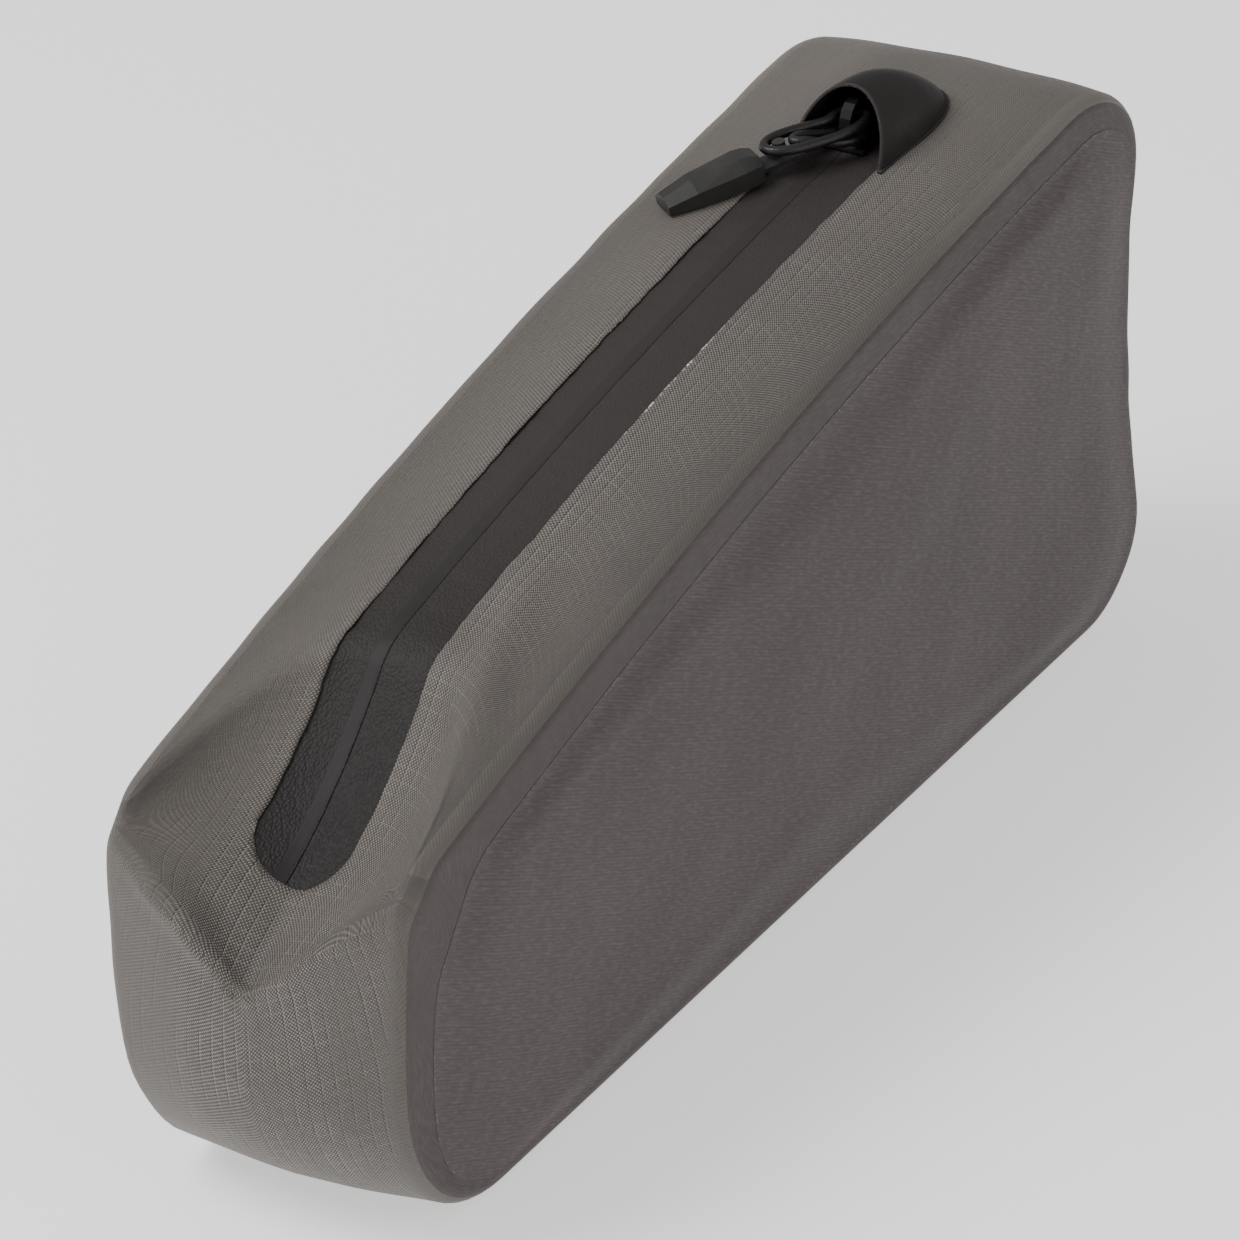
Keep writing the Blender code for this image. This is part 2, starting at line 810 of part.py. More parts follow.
def make_cord(name, route, material):
    curve = bpy.data.curves.new(name, "CURVE")
    curve.dimensions = "3D"
    curve.bevel_depth = CORD_DIAMETER / 2
    curve.bevel_resolution = 2
    curve.use_fill_caps = True
    points = smooth_route(route, 1.5 * CORD_DIAMETER)
    line = curve.splines.new("POLY")
    line.points.add(len(points) - 1)
    for control, point in zip(line.points, points):
        control.co = (*point, 1.0)
    obj = bpy.data.objects.new(name, curve)
    bpy.context.collection.objects.link(obj)
    curve.materials.append(material)
    return obj


class TabSection(NamedTuple):
    """One cross-section of the pull tab's body, in shares of its length, width and thickness."""

    along: float
    width: float
    top: float
    facet: float
    base: float


TAB_SECTIONS = (
    TabSection(0.00, 0.74, 0.80, 0.60, -0.16),
    TabSection(0.10, 0.90, 0.95, 0.52, -0.17),
    TabSection(0.20, 1.00, 1.00, 0.45, -0.15),
    TabSection(0.70, 0.94, 0.92, 0.30, -0.06),
    TabSection(1.00, 0.74, 0.62, 0.40, 0.00),
)
TAB_NECK_SHARE = 0.50


def tab_ring(x, half, top, facet, base=0.0):
    return [
        Vector((x, -half * 0.9, base)),
        Vector((x, half * 0.9, base)),
        Vector((x, half, top * 0.6)),
        Vector((x, half * facet, top)),
        Vector((x, -half * facet, top)),
        Vector((x, -half, top * 0.6)),
    ]


def make_tab(material):
    """The moulded tab. A post on its thin neck stands inside the end of the outer loop."""
    neck = TAB_WIDTH / 2 * TAB_NECK_SHARE
    rings = [
        tab_ring(0.0, neck, TAB_NECK_THICKNESS, 0.7),
        tab_ring(-TAB_NECK_LENGTH, neck, TAB_NECK_THICKNESS, 0.7),
    ]
    for row in TAB_SECTIONS:
        x = -TAB_NECK_LENGTH - GAP - row.along * TAB_LENGTH
        half = TAB_WIDTH / 2 * row.width
        rings.append(tab_ring(x, half, TAB_THICKNESS * row.top, row.facet, TAB_THICKNESS * row.base))
    tab = add_object("pull_tab", strip_mesh("pull_tab", rings), material, smooth_angle=12.0)
    post = make_post()
    join = tab.modifiers.new("post", "BOOLEAN")
    join.operation = "UNION"
    join.solver = "EXACT"
    join.object = post
    reach = OUTER_LOOP_LENGTH - CORD_DIAMETER - 2 * TAB_POST_WIDTH
    cord_low = (OUTER_LOOP[-1].up - 0.5) * CORD_DIAMETER
    heading = math.radians(PULL_HEADING)
    start = pull_place(reach, 0.0, cord_low - 2 * GAP - TAB_NECK_THICKNESS)
    length = TAB_NECK_LENGTH + TAB_LENGTH
    end = start + Vector((-math.cos(heading), math.sin(heading), 0.0)) * length
    drop = start.z - top_height(end.x + TAIL_TO_ORIGIN, end.y) - 2 * GAP
    for obj in (tab, post):
        obj.location = start
        obj.rotation_euler = (0.0, -math.asin(drop / length), -heading)
    return tab


def make_post():
    shape = bmesh.new()
    neck = TAB_NECK_THICKNESS
    height = neck + CORD_DIAMETER + 2 * GAP
    bmesh.ops.create_cone(
        shape,
        cap_ends=True,
        segments=12,
        radius1=TAB_POST_WIDTH / 2,
        radius2=TAB_POST_WIDTH / 2,
        depth=height - neck / 2,
    )
    bmesh.ops.translate(shape, verts=shape.verts, vec=(-POST_INSET * TAB_POST_WIDTH, 0.0, (height + neck / 2) / 2))
    data = bpy.data.meshes.new("tab_post")
    shape.to_mesh(data)
    shape.free()
    post = bpy.data.objects.new("tab_post", data)
    bpy.context.collection.objects.link(post)
    post.hide_render = True
    post.display_type = "WIRE"
    return post


# Underside


def make_patch(material):
    shape = bmesh.new()
    bmesh.ops.create_cube(shape, size=1.0)
    bmesh.ops.scale(shape, verts=shape.verts, vec=(PATCH_LENGTH, PATCH_WIDTH, PATCH_THICKNESS))
    upright = [edge for edge in shape.edges if abs(edge.verts[0].co.z - edge.verts[1].co.z) > PATCH_THICKNESS / 2]
    bmesh.ops.bevel(
        shape, geom=upright, affect="EDGES", offset=PATCH_WIDTH * 0.08, segments=4, profile=0.5
    )
    data = bpy.data.meshes.new("base_patch")
    shape.to_mesh(data)
    shape.free()
    patch = add_object("base_patch", data, material)
    patch.location = at(PATCH_TAIL + PATCH_LENGTH / 2, 0.0, PATCH_THICKNESS / 2)
    return patch


def main():
    clear_scene()
    gusset_cloth = fabric("gusset_cloth", (0.130, 0.120, 0.103), 0.62)
    panel_cloth = fabric("panel_cloth", (0.118, 0.104, 0.101), 0.66)
    zip_black = fabric("zip_film", (0.040, 0.035, 0.033), 0.45)
    rubber = fabric("hood_rubber", (0.026, 0.022, 0.021), 0.55)
    cord_black = fabric("cord_black", (0.022, 0.020, 0.020), 0.45)
    moulding = fabric("tab_moulding", (0.030, 0.031, 0.030), 0.50)
    metal = fabric("slider_black", (0.020, 0.020, 0.020), 0.40, 0.4)
    make_gusset(gusset_cloth)
    make_panel("side_panel_near", -1, panel_cloth)
    make_panel("side_panel_far", 1, panel_cloth)
    make_tape("zip_tape_near", -1, zip_black)
    make_tape("zip_tape_far", 1, zip_black)
    make_slider(metal)
    make_hood(rubber)
    outer_route = loop_route(OUTER_LOOP, OUTER_LOOP_LENGTH, OUTER_LOOP_WIDTH)
    inner_route = loop_route(INNER_LOOP, INNER_LOOP_LENGTH, OUTER_LOOP_WIDTH)
    make_cord("pull_cord_outer", outer_route, cord_black)
    make_cord("pull_cord_inner", inner_route, cord_black)
    make_tab(moulding)
    make_patch(rubber)


main()
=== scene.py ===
"""Looks of a welded top tube bag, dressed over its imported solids.

Lengths are in metres in the frame of the solids: +X runs from the low tail to the tall front,
-Y is the near side and Z = 0 is the floor. Places written as "from the tail" are moved into that
frame by BagForm.
"""

from __future__ import annotations

import json
import logging
import math
from dataclasses import dataclass, field
from enum import Enum
from typing import Callable

import bmesh
import bpy
import numpy as np
from mathutils import Matrix, Vector

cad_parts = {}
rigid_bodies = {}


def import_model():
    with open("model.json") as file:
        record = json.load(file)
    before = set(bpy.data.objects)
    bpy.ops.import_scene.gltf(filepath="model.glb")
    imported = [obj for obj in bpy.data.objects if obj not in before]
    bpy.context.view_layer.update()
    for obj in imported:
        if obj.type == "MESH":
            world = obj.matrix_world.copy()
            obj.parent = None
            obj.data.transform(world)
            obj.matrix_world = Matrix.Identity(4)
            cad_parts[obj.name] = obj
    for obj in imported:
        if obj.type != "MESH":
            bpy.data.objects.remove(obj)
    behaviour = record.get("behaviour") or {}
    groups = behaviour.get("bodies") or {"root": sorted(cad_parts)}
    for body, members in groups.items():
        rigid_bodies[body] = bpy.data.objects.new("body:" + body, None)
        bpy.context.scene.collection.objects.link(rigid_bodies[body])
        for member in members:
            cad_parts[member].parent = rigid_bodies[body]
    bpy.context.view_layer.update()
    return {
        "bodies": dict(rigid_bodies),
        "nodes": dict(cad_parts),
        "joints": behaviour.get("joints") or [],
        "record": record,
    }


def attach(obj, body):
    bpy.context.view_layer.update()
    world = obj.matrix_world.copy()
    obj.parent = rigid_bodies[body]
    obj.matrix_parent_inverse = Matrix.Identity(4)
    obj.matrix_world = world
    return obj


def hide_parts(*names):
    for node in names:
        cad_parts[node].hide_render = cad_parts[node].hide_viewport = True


LOG = logging.getLogger("top_tube_bag")

Array = np.ndarray
Colour = tuple[float, float, float]
Span = tuple[float, float]
Inputs = dict[int | str, object]


class Layer(Enum):
    """The UV layers that every cloth mesh has."""

    CLOTH = "cloth"
    TURN = "turn"


class Ring(Enum):
    """The rings of the bag's side outline, each with the name of its corners' radius."""

    RIM = "radius"
    MIDDLE = "dent_radius"
    FLANGE = "flange_radius"
    PANEL = "panel_radius"


@dataclass(frozen=True)
class Grain:
    """Noise in a finish.

    The scale is how many features there are in a metre, detail how many finer layers are added and
    roughness how strong those are. Stretch scales the coordinates first, and a span cuts the noise
    to a smooth rise from 0 to 1.
    """

    scale: float = 1.0
    detail: float = 2.0
    roughness: float = 0.5
    span: Span | None = None
    stretch: tuple[float, float, float] | None = None


# Shader expressions


class Signal:
    """A value socket that Python's arithmetic adds Math nodes to."""

    def __init__(self, graph: Graph, socket: bpy.types.NodeSocket) -> None:
        """Wrap one output socket of a graph."""
        self.graph = graph
        self.socket = socket

    def _math(self, operation: str, *others: Signal | float, clamp: bool = False) -> Signal:
        """Add a Math node that starts from this value.

        Args:
            operation: The Math node's operation.
            others: Its second and third inputs.
            clamp: Whether the result is kept between 0 and 1.

        Returns:
            The node's result.
        """
        sockets = dict(enumerate((self, *others)))
        node = self.graph.node("ShaderNodeMath", sockets, operation=operation, use_clamp=clamp)
        return Signal(self.graph, node.outputs[0])

    def __add__(self, other: Signal | float) -> Signal:
        """The sum."""
        return self._math("ADD", other)

    __radd__ = __add__

    def __sub__(self, other: Signal | float) -> Signal:
        """The difference."""
        return self._math("SUBTRACT", other)

    def __rsub__(self, other: float) -> Signal:
        """The difference from a number."""
        return (self * -1.0) + other

    def __mul__(self, other: Signal | float) -> Signal:
        """The product."""
        return self._math("MULTIPLY", other)

    __rmul__ = __mul__

    def __truediv__(self, other: Signal | float) -> Signal:
        """The quotient."""
        return self._math("DIVIDE", other)

    def __pow__(self, other: Signal | float) -> Signal:
        """The power of a value that is not negative."""
        return self._math("POWER", other)

    def __abs__(self) -> Signal:
        """The absolute value."""
        return self._math("ABSOLUTE")

    def sin(self) -> Signal:
        """The sine."""
        return self._math("SINE")

    def fraction(self) -> Signal:
        """The part after the point."""
        return self._math("FRACT")

    def at_least(self, other: Signal | float) -> Signal:
        """The larger of the two."""
        return self._math("MAXIMUM", other)

    def within(self) -> Signal:
        """The value kept between 0 and 1."""
        return self._math("ADD", 0.0, clamp=True)

    def ramp(self, low: float, high: float) -> Signal:
        """A smooth rise from 0 at low to 1 at high.

        Args:
            low: The value that gives 0.
            high: The value that gives 1. It may be the smaller of the two.

        Returns:
            The smooth rise.
        """
        sockets = {0: self, 1: min(low, high), 2: max(low, high), 3: 0.0, 4: 1.0}
        kind = "ShaderNodeMapRange"
        node = self.graph.node(kind, sockets, interpolation_type="SMOOTHSTEP", clamp=True)
        risen = Signal(self.graph, node.outputs[0])
        return 1.0 - risen if high < low else risen


class Graph:
    """The node tree of one new material."""

    def __init__(self, name: str) -> None:
        """Make an empty material with its output node."""
        self.material = bpy.data.materials.new(name)
        self.material.use_nodes = True
        self.tree = self.material.node_tree
        self.tree.nodes.clear()

    def node(
        self, kind: str, sockets: Inputs | None = None, **settings: object
    ) -> bpy.types.ShaderNode:
        """Add any node.

        Args:
            kind: The node's type name.
            sockets: Input name or number to a number, colour, Signal or output socket.
            settings: The node's own settings, which are set first.

        Returns:
            The node.
        """
        made = self.tree.nodes.new(kind)
        for key, value in settings.items():
            setattr(made, key, value)
        for key, value in (sockets or {}).items():
            source = value.socket if isinstance(value, Signal) else value
            if isinstance(source, bpy.types.NodeSocket):
                self.tree.links.new(source, made.inputs[key])
            else:
                made.inputs[key].default_value = source
        return made

    def axes(self, vector: bpy.types.NodeSocket) -> tuple[Signal, Signal, Signal]:
        """The three numbers of a vector."""
        split = self.node("ShaderNodeSeparateXYZ", {0: vector})
        x, y, z = (Signal(self, socket) for socket in split.outputs)
        return x, y, z

    def layer(self, layer: Layer) -> bpy.types.NodeSocket:
        """The coordinates of one of a cloth mesh's UV layers."""
        return self.node("ShaderNodeUVMap", uv_map=layer.value).outputs[0]

    def object_place(self) -> bpy.types.NodeSocket:
        """The Object coordinates."""
        return self.node("ShaderNodeTexCoord").outputs["Object"]

    def turned(self, vector: bpy.types.NodeSocket, degrees: float) -> bpy.types.NodeSocket:
        """A vector turned about Z."""
        turn = (0.0, 0.0, math.radians(degrees))
        return self.node("ShaderNodeMapping", {0: vector, "Rotation": turn}).outputs[0]

    def stretched(
        self, vector: bpy.types.NodeSocket, scale: tuple[float, float, float]
    ) -> bpy.types.NodeSocket:
        """A vector scaled along its axes."""
        return self.node("ShaderNodeMapping", {0: vector, "Scale": scale}).outputs[0]

    def noise(self, vector: bpy.types.NodeSocket, grain: Grain) -> Signal:
        """Noise of one grain, from 0 to 1.

        Args:
            vector: The coordinates.
            grain: The grain.

        Returns:
            The noise.
        """
        if grain.stretch:
            vector = self.stretched(vector, grain.stretch)
        sockets = {"Vector": vector, "Scale": grain.scale}
        sockets |= {"Detail": grain.detail, "Roughness": grain.roughness}
        found = Signal(self, self.node("ShaderNodeTexNoise", sockets).outputs["Fac"])
        return found.ramp(*grain.span) if grain.span else found

    def cells(self, vector: bpy.types.NodeSocket, scale: float, jitter: float = 1.0) -> Signal:
        """Distance from the nearest of many scattered points, in cells."""
        sockets = {"Vector": vector, "Scale": scale, "Randomness": jitter}
        return Signal(self, self.node("ShaderNodeTexVoronoi", sockets).outputs["Distance"])

    def mix(
        self,
        share: Signal | float,
        first: Colour | bpy.types.NodeSocket,
        second: Colour | bpy.types.NodeSocket,
    ) -> bpy.types.NodeSocket:
        """A colour between two others.

        Args:
            share: 0 for the first and 1 for the second.
            first: A colour or a link to one.
            second: A colour or a link to one.

        Returns:
            The mixed colour.
        """
        pair = [(*c, 1.0) if isinstance(c, tuple) else c for c in (first, second)]
        made = self.node("ShaderNodeMix", {0: share, 6: pair[0], 7: pair[1]}, data_type="RGBA")
        return made.outputs[2]

    def relief(
        self, height: Signal, depth: float, under: bpy.types.NodeSocket | None = None
    ) -> bpy.types.NodeSocket:
        """A Bump node's normal.

        Args:
            height: The relief, from 0 to 1.
            depth: What 1 stands for, in metres.
            under: The normal of a coarser relief under this one.

        Returns:
            The normal.
        """
        sockets: Inputs = {"Height": height, "Distance": depth, "Strength": 1.0}
        if under is not None:
            sockets["Normal"] = under
        return self.node("ShaderNodeBump", sockets).outputs[0]

    def finish(self, sockets: Inputs) -> bpy.types.Material:
        """End the material with a Principled shader.

        Args:
            sockets: The shader's inputs.

        Returns:
            The material.
        """
        shader = self.node("ShaderNodeBsdfPrincipled", sockets)
        self.node("ShaderNodeOutputMaterial", {0: shader.outputs[0]})
        return self.material


# Finishes


@dataclass(frozen=True)
class Finish:
    """What a piece is finished in. Each kind works out the inputs of its shader."""

    name: str = "finish"

    def material(self) -> bpy.types.Material:
        """Build the finish as a material.

        Returns:
            The material.
        """
        graph = Graph(self.name)
        return graph.finish(self._inputs(graph, graph.object_place()))

    def _inputs(self, graph: Graph, place: bpy.types.NodeSocket) -> Inputs:
        """Work out the shader's inputs.

        Args:
            graph: The material's graph.
            place: The object's coordinates.

        Returns:
            The inputs by name.
        """
        raise NotImplementedError


@dataclass(frozen=True)
class CoatedRipstop(Finish):
    """A fine plain weave under a thin coating, with a thicker yarn every few rows."""

    name: str = "gusset_ripstop"
    ground: Colour = (0.033, 0.028, 0.025)
    crossing: Colour = (0.300, 0.270, 0.240)
    warm: Colour = (0.042, 0.034, 0.031)
    yarn: float = 0.00035
    stop_every: float = 0.0024
    roughness: float = 0.60
    fibre: Colour = (0.80, 0.78, 0.74)
    fray_line: Span = (-0.00671, -0.0105)
    fray_span: Span = (-0.019, 0.018)
    fray_half: Span = (0.00030, 0.00012)
    fray_fades: Span = (0.006, 0.010)
    front: Span = (0.025, 0.095)
    left: Span = (0.006, 0.017)
    left_to_tail: Span = (-0.110, -0.075)
    shoulder: tuple[Span, Span] = ((0.009, 0.016), (-0.080, -0.092))
    near_tail: tuple[Span, Span] = ((-0.010, -0.018), (-0.092, -0.104))
    tail: Span = (-0.110, -0.118)
    rim: Span = (0.90, 1.08)
    level: float = 0.13
    front_lift: float = 0.20
    # The left, shoulder, rim and near-tail lifts are painted light where the lamps fall.
    left_painted_light: float = 0.18
    shoulder_painted_light: float = 0.05
    rim_painted_highlight: float = 0.10
    near_tail_painted_light: float = 0.05
    tail_drop: float = 0.05
    front_fade: float = 0.84
    left_fade: float = 0.66
    rim_fade: float = 0.92
    near_tail_fade: float = 0.45
    tail_fade: float = 0.16
    plain_contrast: float = 0.92
    patchy_contrast: float = 0.46
    stop_light: float = 0.35
    stop_shade: float = 0.26
    drift_along: Grain = Grain(60.0)
    drift_across: Grain = Grain(40.0)
    unevenness: Grain = Grain(1100.0, 2.0, 0.6)
    breaks: Grain = Grain(160.0, span=(0.36, 0.60))
    patches: Grain = Grain(38.0, 3.0, 0.6, (0.28, 0.70))
    clouds: Grain = Grain(14.0, span=(0.35, 0.65))
    fraying: Grain = Grain(700.0, 2.0, 0.6, (0.44, 0.58))
    wrinkles: Grain = Grain(150.0, 3.0, 0.55)
    wrinkle_depth: float = 0.00025

    def _inputs(self, graph: Graph, place: bpy.types.NodeSocket) -> Inputs:
        """Work out the shader's inputs.

        The weave looks paler and fainter towards the front, on the left, over the rims and on
        parts of the tail, so each of those has a share from 0 to 1. A lift makes its part of the
        cloth paler, and a fade makes the weave fainter there. The lifts on the left, on the left
        shoulder and on the near slope by the tail are painted light on the slopes that the lamps
        fall on, and the lift over the rims is a painted highlight along their folds.

        Args:
            graph: The material's graph.
            place: The object's coordinates.

        Returns:
            The inputs by name.
        """
        along, across, _ = graph.axes(graph.layer(Layer.CLOTH))
        turn, _, _ = graph.axes(graph.layer(Layer.TURN))
        lengthwise, sideways, _ = graph.axes(place)
        u = along + (graph.noise(place, self.drift_along) - 0.5) * (self.yarn * 0.7)
        v = across + (graph.noise(place, self.drift_across) - 0.5) * (self.yarn * 0.8)
        warp = (v * (math.pi / self.yarn)).sin()
        weft = (u * (math.pi / self.yarn)).sin()
        crossings = (warp * weft * 1.25).within() ** 0.9
        uneven = graph.noise(place, self.unevenness)
        broken = graph.noise(place, self.breaks)
        stops = self._line(v, 0.5).at_least(self._line(u, 0.5) * 0.6) * broken
        shades = self._line(v, 0.5 + 0.9 * self.yarn / self.stop_every) * (0.35 + broken * 0.65)
        patchy = graph.noise(place, self.patches)
        to_front = lengthwise.ramp(*self.front)
        leftward = sideways.ramp(*self.left) * (0.65 + lengthwise.ramp(*self.left_to_tail) * 0.35)
        shoulder = sideways.ramp(*self.shoulder[0]) * lengthwise.ramp(*self.shoulder[1])
        over_rim = abs(turn).ramp(*self.rim)
        near_tail = sideways.ramp(*self.near_tail[0]) * lengthwise.ramp(*self.near_tail[1])
        at_tail = lengthwise.ramp(*self.tail)
        fading = 1.0 - to_front * self.front_fade
        fading = fading * (1.0 - leftward.at_least(shoulder) * self.left_fade)
        fading = fading * (1.0 - over_rim * self.rim_fade) * (1.0 - near_tail * self.near_tail_fade)
        contrast = (self.plain_contrast + patchy * self.patchy_contrast) * fading
        dots = crossings * (0.35 + uneven * 1.30) * contrast
        # Painted light: the rim lift is a painted highlight along the folds, and the near-tail, left and
        # shoulder lifts are painted light on the lit slopes.
        level = self.level + over_rim * self.rim_painted_highlight + near_tail * self.near_tail_painted_light
        level = level + to_front * self.front_lift + leftward * self.left_painted_light
        level = level + shoulder * self.shoulder_painted_light - at_tail * self.tail_drop
        level = level + dots * (1.0 - at_tail * self.tail_fade)
        level = level + stops * contrast * self.stop_light - shades * contrast * self.stop_shade
        body = graph.mix(graph.noise(place, self.clouds), self.ground, self.warm)
        colour = graph.mix(level.within(), body, self.crossing)
        colour = graph.mix(self._frayed(graph, place), colour, self.fibre)
        height = crossings * 0.8 + stops * 0.4 - shades * 0.3
        wrinkles = graph.relief(graph.noise(place, self.wrinkles), self.wrinkle_depth)
        return {
            "Base Color": colour,
            "Roughness": self.roughness - dots * 0.12,
            "Normal": graph.relief(height, self.yarn * 0.35, wrinkles),
            "Specular IOR Level": 0.38,
            "Sheen Weight": 0.06,
            "Sheen Roughness": 0.5,
        }

    def _frayed(self, graph: Graph, place: bpy.types.NodeSocket) -> Signal:
        """Pale broken fibres along the slot's near edge, over a part of its length.

        Args:
            graph: The material's graph.
            place: The object's coordinates.

        Returns:
            1 on the fibres and 0 elsewhere.
        """
        lengthwise, sideways, _ = graph.axes(place)
        level, slant = self.fray_line
        start, end = self.fray_span
        beside = abs(sideways - lengthwise * slant - level)
        grows, dies = self.fray_fades
        along = lengthwise.ramp(start, start + grows) * lengthwise.ramp(end, end - dies)
        return beside.ramp(*self.fray_half) * along * graph.noise(place, self.fraying)

    def _line(self, place: Signal, at: float) -> Signal:
        """A line once every stop_every, from 0 to 1.

        Args:
            place: The place across the lines, in metres.
            at: Where the line is in its span, from 0 to 1.

        Returns:
            1 on the line and 0 beside it.
        """
        share = (place / self.stop_every).fraction()
        half = 0.40 * self.yarn / self.stop_every
        return abs(share - at).ramp(half, half * 0.3)


@dataclass(frozen=True)
class PanelCloth(Finish):
    """The side panels' smoother coated cloth, with faint level threads and a few slubs."""

    name: str = "panel_cloth"
    ground: Colour = (0.058, 0.045, 0.045)
    thread: Colour = (0.116, 0.094, 0.092)
    dark: Colour = (0.049, 0.038, 0.038)
    pitch: float = 0.00056
    lean: float = 26.0
    roughness: float = 0.66
    drift: Grain = Grain(70.0)
    streaks: Grain = Grain(1.0, 2.0, 0.65, (0.40, 0.74), (420.0, 2100.0, 1.0))
    specks: Grain = Grain(1.0, 1.0, 0.5, (0.70, 0.82), (1500.0, 2300.0, 1.0))
    slubs: Grain = Grain(1.0, 1.0, 0.5, (0.66, 0.80), (1700.0, 210.0, 1.0))
    patches: Grain = Grain(26.0, 3.0, 0.6, (0.35, 0.70))
    clouds: Grain = Grain(9.0, span=(0.35, 0.68))
    wrinkles: Grain = Grain(60.0, 3.0)
    wrinkle_depth: float = 0.00045
    thread_depth: float = 0.00003
    level_light: float = 0.26
    streak_light: float = 0.62
    slub_light: float = 0.34
    speck_light: float = 0.60
    cloudiness: float = 0.45

    def _inputs(self, graph: Graph, place: bpy.types.NodeSocket) -> Inputs:
        """Work out the shader's inputs.

        Args:
            graph: The material's graph.
            place: The object's coordinates.

        Returns:
            The inputs by name.
        """
        turned = graph.turned(graph.layer(Layer.CLOTH), self.lean)
        along, across, _ = graph.axes(turned)
        drift = (graph.noise(turned, self.drift) - 0.5) * self.pitch
        level = abs(((across + drift) * (math.pi / self.pitch)).sin())
        upright = abs((along * (math.pi / (self.pitch * 0.8))).sin())
        streaks, specks, slubs = (
            graph.noise(turned, grain) for grain in (self.streaks, self.specks, self.slubs)
        )
        patchy = graph.noise(place, self.patches)
        light = level * self.level_light * patchy + streaks * self.streak_light
        light = light + slubs * self.slub_light * patchy + specks * self.speck_light
        cloudy = graph.noise(place, self.clouds) * self.cloudiness
        body = graph.mix(cloudy, self.ground, self.dark)
        colour = graph.mix((light * 0.8).within(), body, self.thread)
        # Painted light: paler towards a rim where the cloth turns over it, none on a flat panel.
        colour = graph.mix(self._rim_light(graph), colour, self.thread)
        wrinkles = graph.relief(graph.noise(place, self.wrinkles), self.wrinkle_depth)
        height = level * 0.6 + upright * 0.15 + slubs * 0.5
        return {
            "Base Color": colour,
            "Roughness": self.roughness - level * 0.06,
            "Normal": graph.relief(height, self.thread_depth, wrinkles),
            "Specular IOR Level": 0.22,
            "Sheen Weight": 0.03,
            "Sheen Roughness": 0.5,
        }

    def _rim_light(self, graph: Graph) -> Signal | float:
        """How much painted light pales the cloth towards a rim, which is none on a flat panel."""
        return 0.0


@dataclass(frozen=True)
class FlangeCloth(PanelCloth):
    """The same cloth where it turns over the bag's rim, darker and painted a little paler towards the rim.

    Its darker colours are partly painted shade and partly the cloth's own darker back. The paler
    part is painted light on the rim's round.
    """

    name: str = "flange_cloth"
    # Darker than the panel's colours: partly painted shade, partly the cloth's darker back.
    ground: Colour = (0.048, 0.037, 0.037)
    thread: Colour = (0.098, 0.079, 0.077)
    dark: Colour = (0.041, 0.031, 0.032)
    pitch: float = 0.00046
    lean: float = 4.0
    # How much painted light pales the rim's round.
    paler_tone: float = 0.45
    flat_to_rim: Span = (2.15, 1.5)

    def _rim_light(self, graph: Graph) -> Signal:
        """How much painted light pales the cloth, from none on the flat of the flange to full at the rim.
        """
        turn, _, _ = graph.axes(graph.layer(Layer.TURN))
        return abs(turn).ramp(*self.flat_to_rim) * self.paler_tone


@dataclass(frozen=True)
class ZipFilm(Finish):
    """The film laminated over the zip tape: leathery pebbles, and smooth over the coil."""

    name: str = "zip_film"
    ground: Colour = (0.036, 0.029, 0.028)
    raised: Colour = (0.078, 0.066, 0.062)
    coil: Colour = (0.028, 0.024, 0.023)
    tail: Colour = (0.009, 0.008, 0.008)
    pebble: float = 0.00044
    coil_from: float = 0.0001
    coil_to: float = 0.0026
    coil_edge: float = 0.0002
    to_tail: Span = (-0.020, -0.100)
    squeeze: tuple[float, float, float] = (0.75, 1.0, 0.75)
    grain: Grain = Grain(1700.0, 2.0, 0.6)
    patches: Grain = Grain(120.0, span=(0.3, 0.7))
    ribs: Grain = Grain(420.0)
    depth: float = 0.00015

    def _inputs(self, graph: Graph, place: bpy.types.NodeSocket) -> Inputs:
        """Work out the shader's inputs.

        Args:
            graph: The material's graph.
            place: The object's coordinates.

        Returns:
            The inputs by name.
        """
        _, across, _ = graph.axes(graph.layer(Layer.CLOTH))
        lengthwise, _, _ = graph.axes(place)
        over_coil = across.ramp(self.coil_from, self.coil_from + self.coil_edge)
        over_coil = over_coil * across.ramp(self.coil_to, self.coil_to - self.coil_edge)
        pebbles = graph.cells(graph.stretched(place, self.squeeze), 1.0 / self.pebble)
        fine = graph.noise(place, self.grain)
        grain = (1.0 - pebbles * 1.15).within()
        rough_part = 1.0 - over_coil
        patchy = graph.noise(place, self.patches)
        to_tail = lengthwise.ramp(*self.to_tail)
        grain = grain * (0.40 + to_tail * 0.60)
        lit = grain ** 1.6 * rough_part * (0.45 + patchy * 0.55)
        body = graph.mix(over_coil * 0.8, self.ground, self.coil)
        colour = graph.mix((lit * 0.75 + fine * 0.10).within(), body, self.raised)
        colour = graph.mix(to_tail * 0.75, colour, self.tail)
        height = grain * rough_part + over_coil * graph.noise(place, self.ribs) * 0.12
        return {
            "Base Color": colour,
            "Roughness": 0.58 + fine * 0.06,
            "Normal": graph.relief(height, self.depth),
            "Specular IOR Level": 0.32,
        }


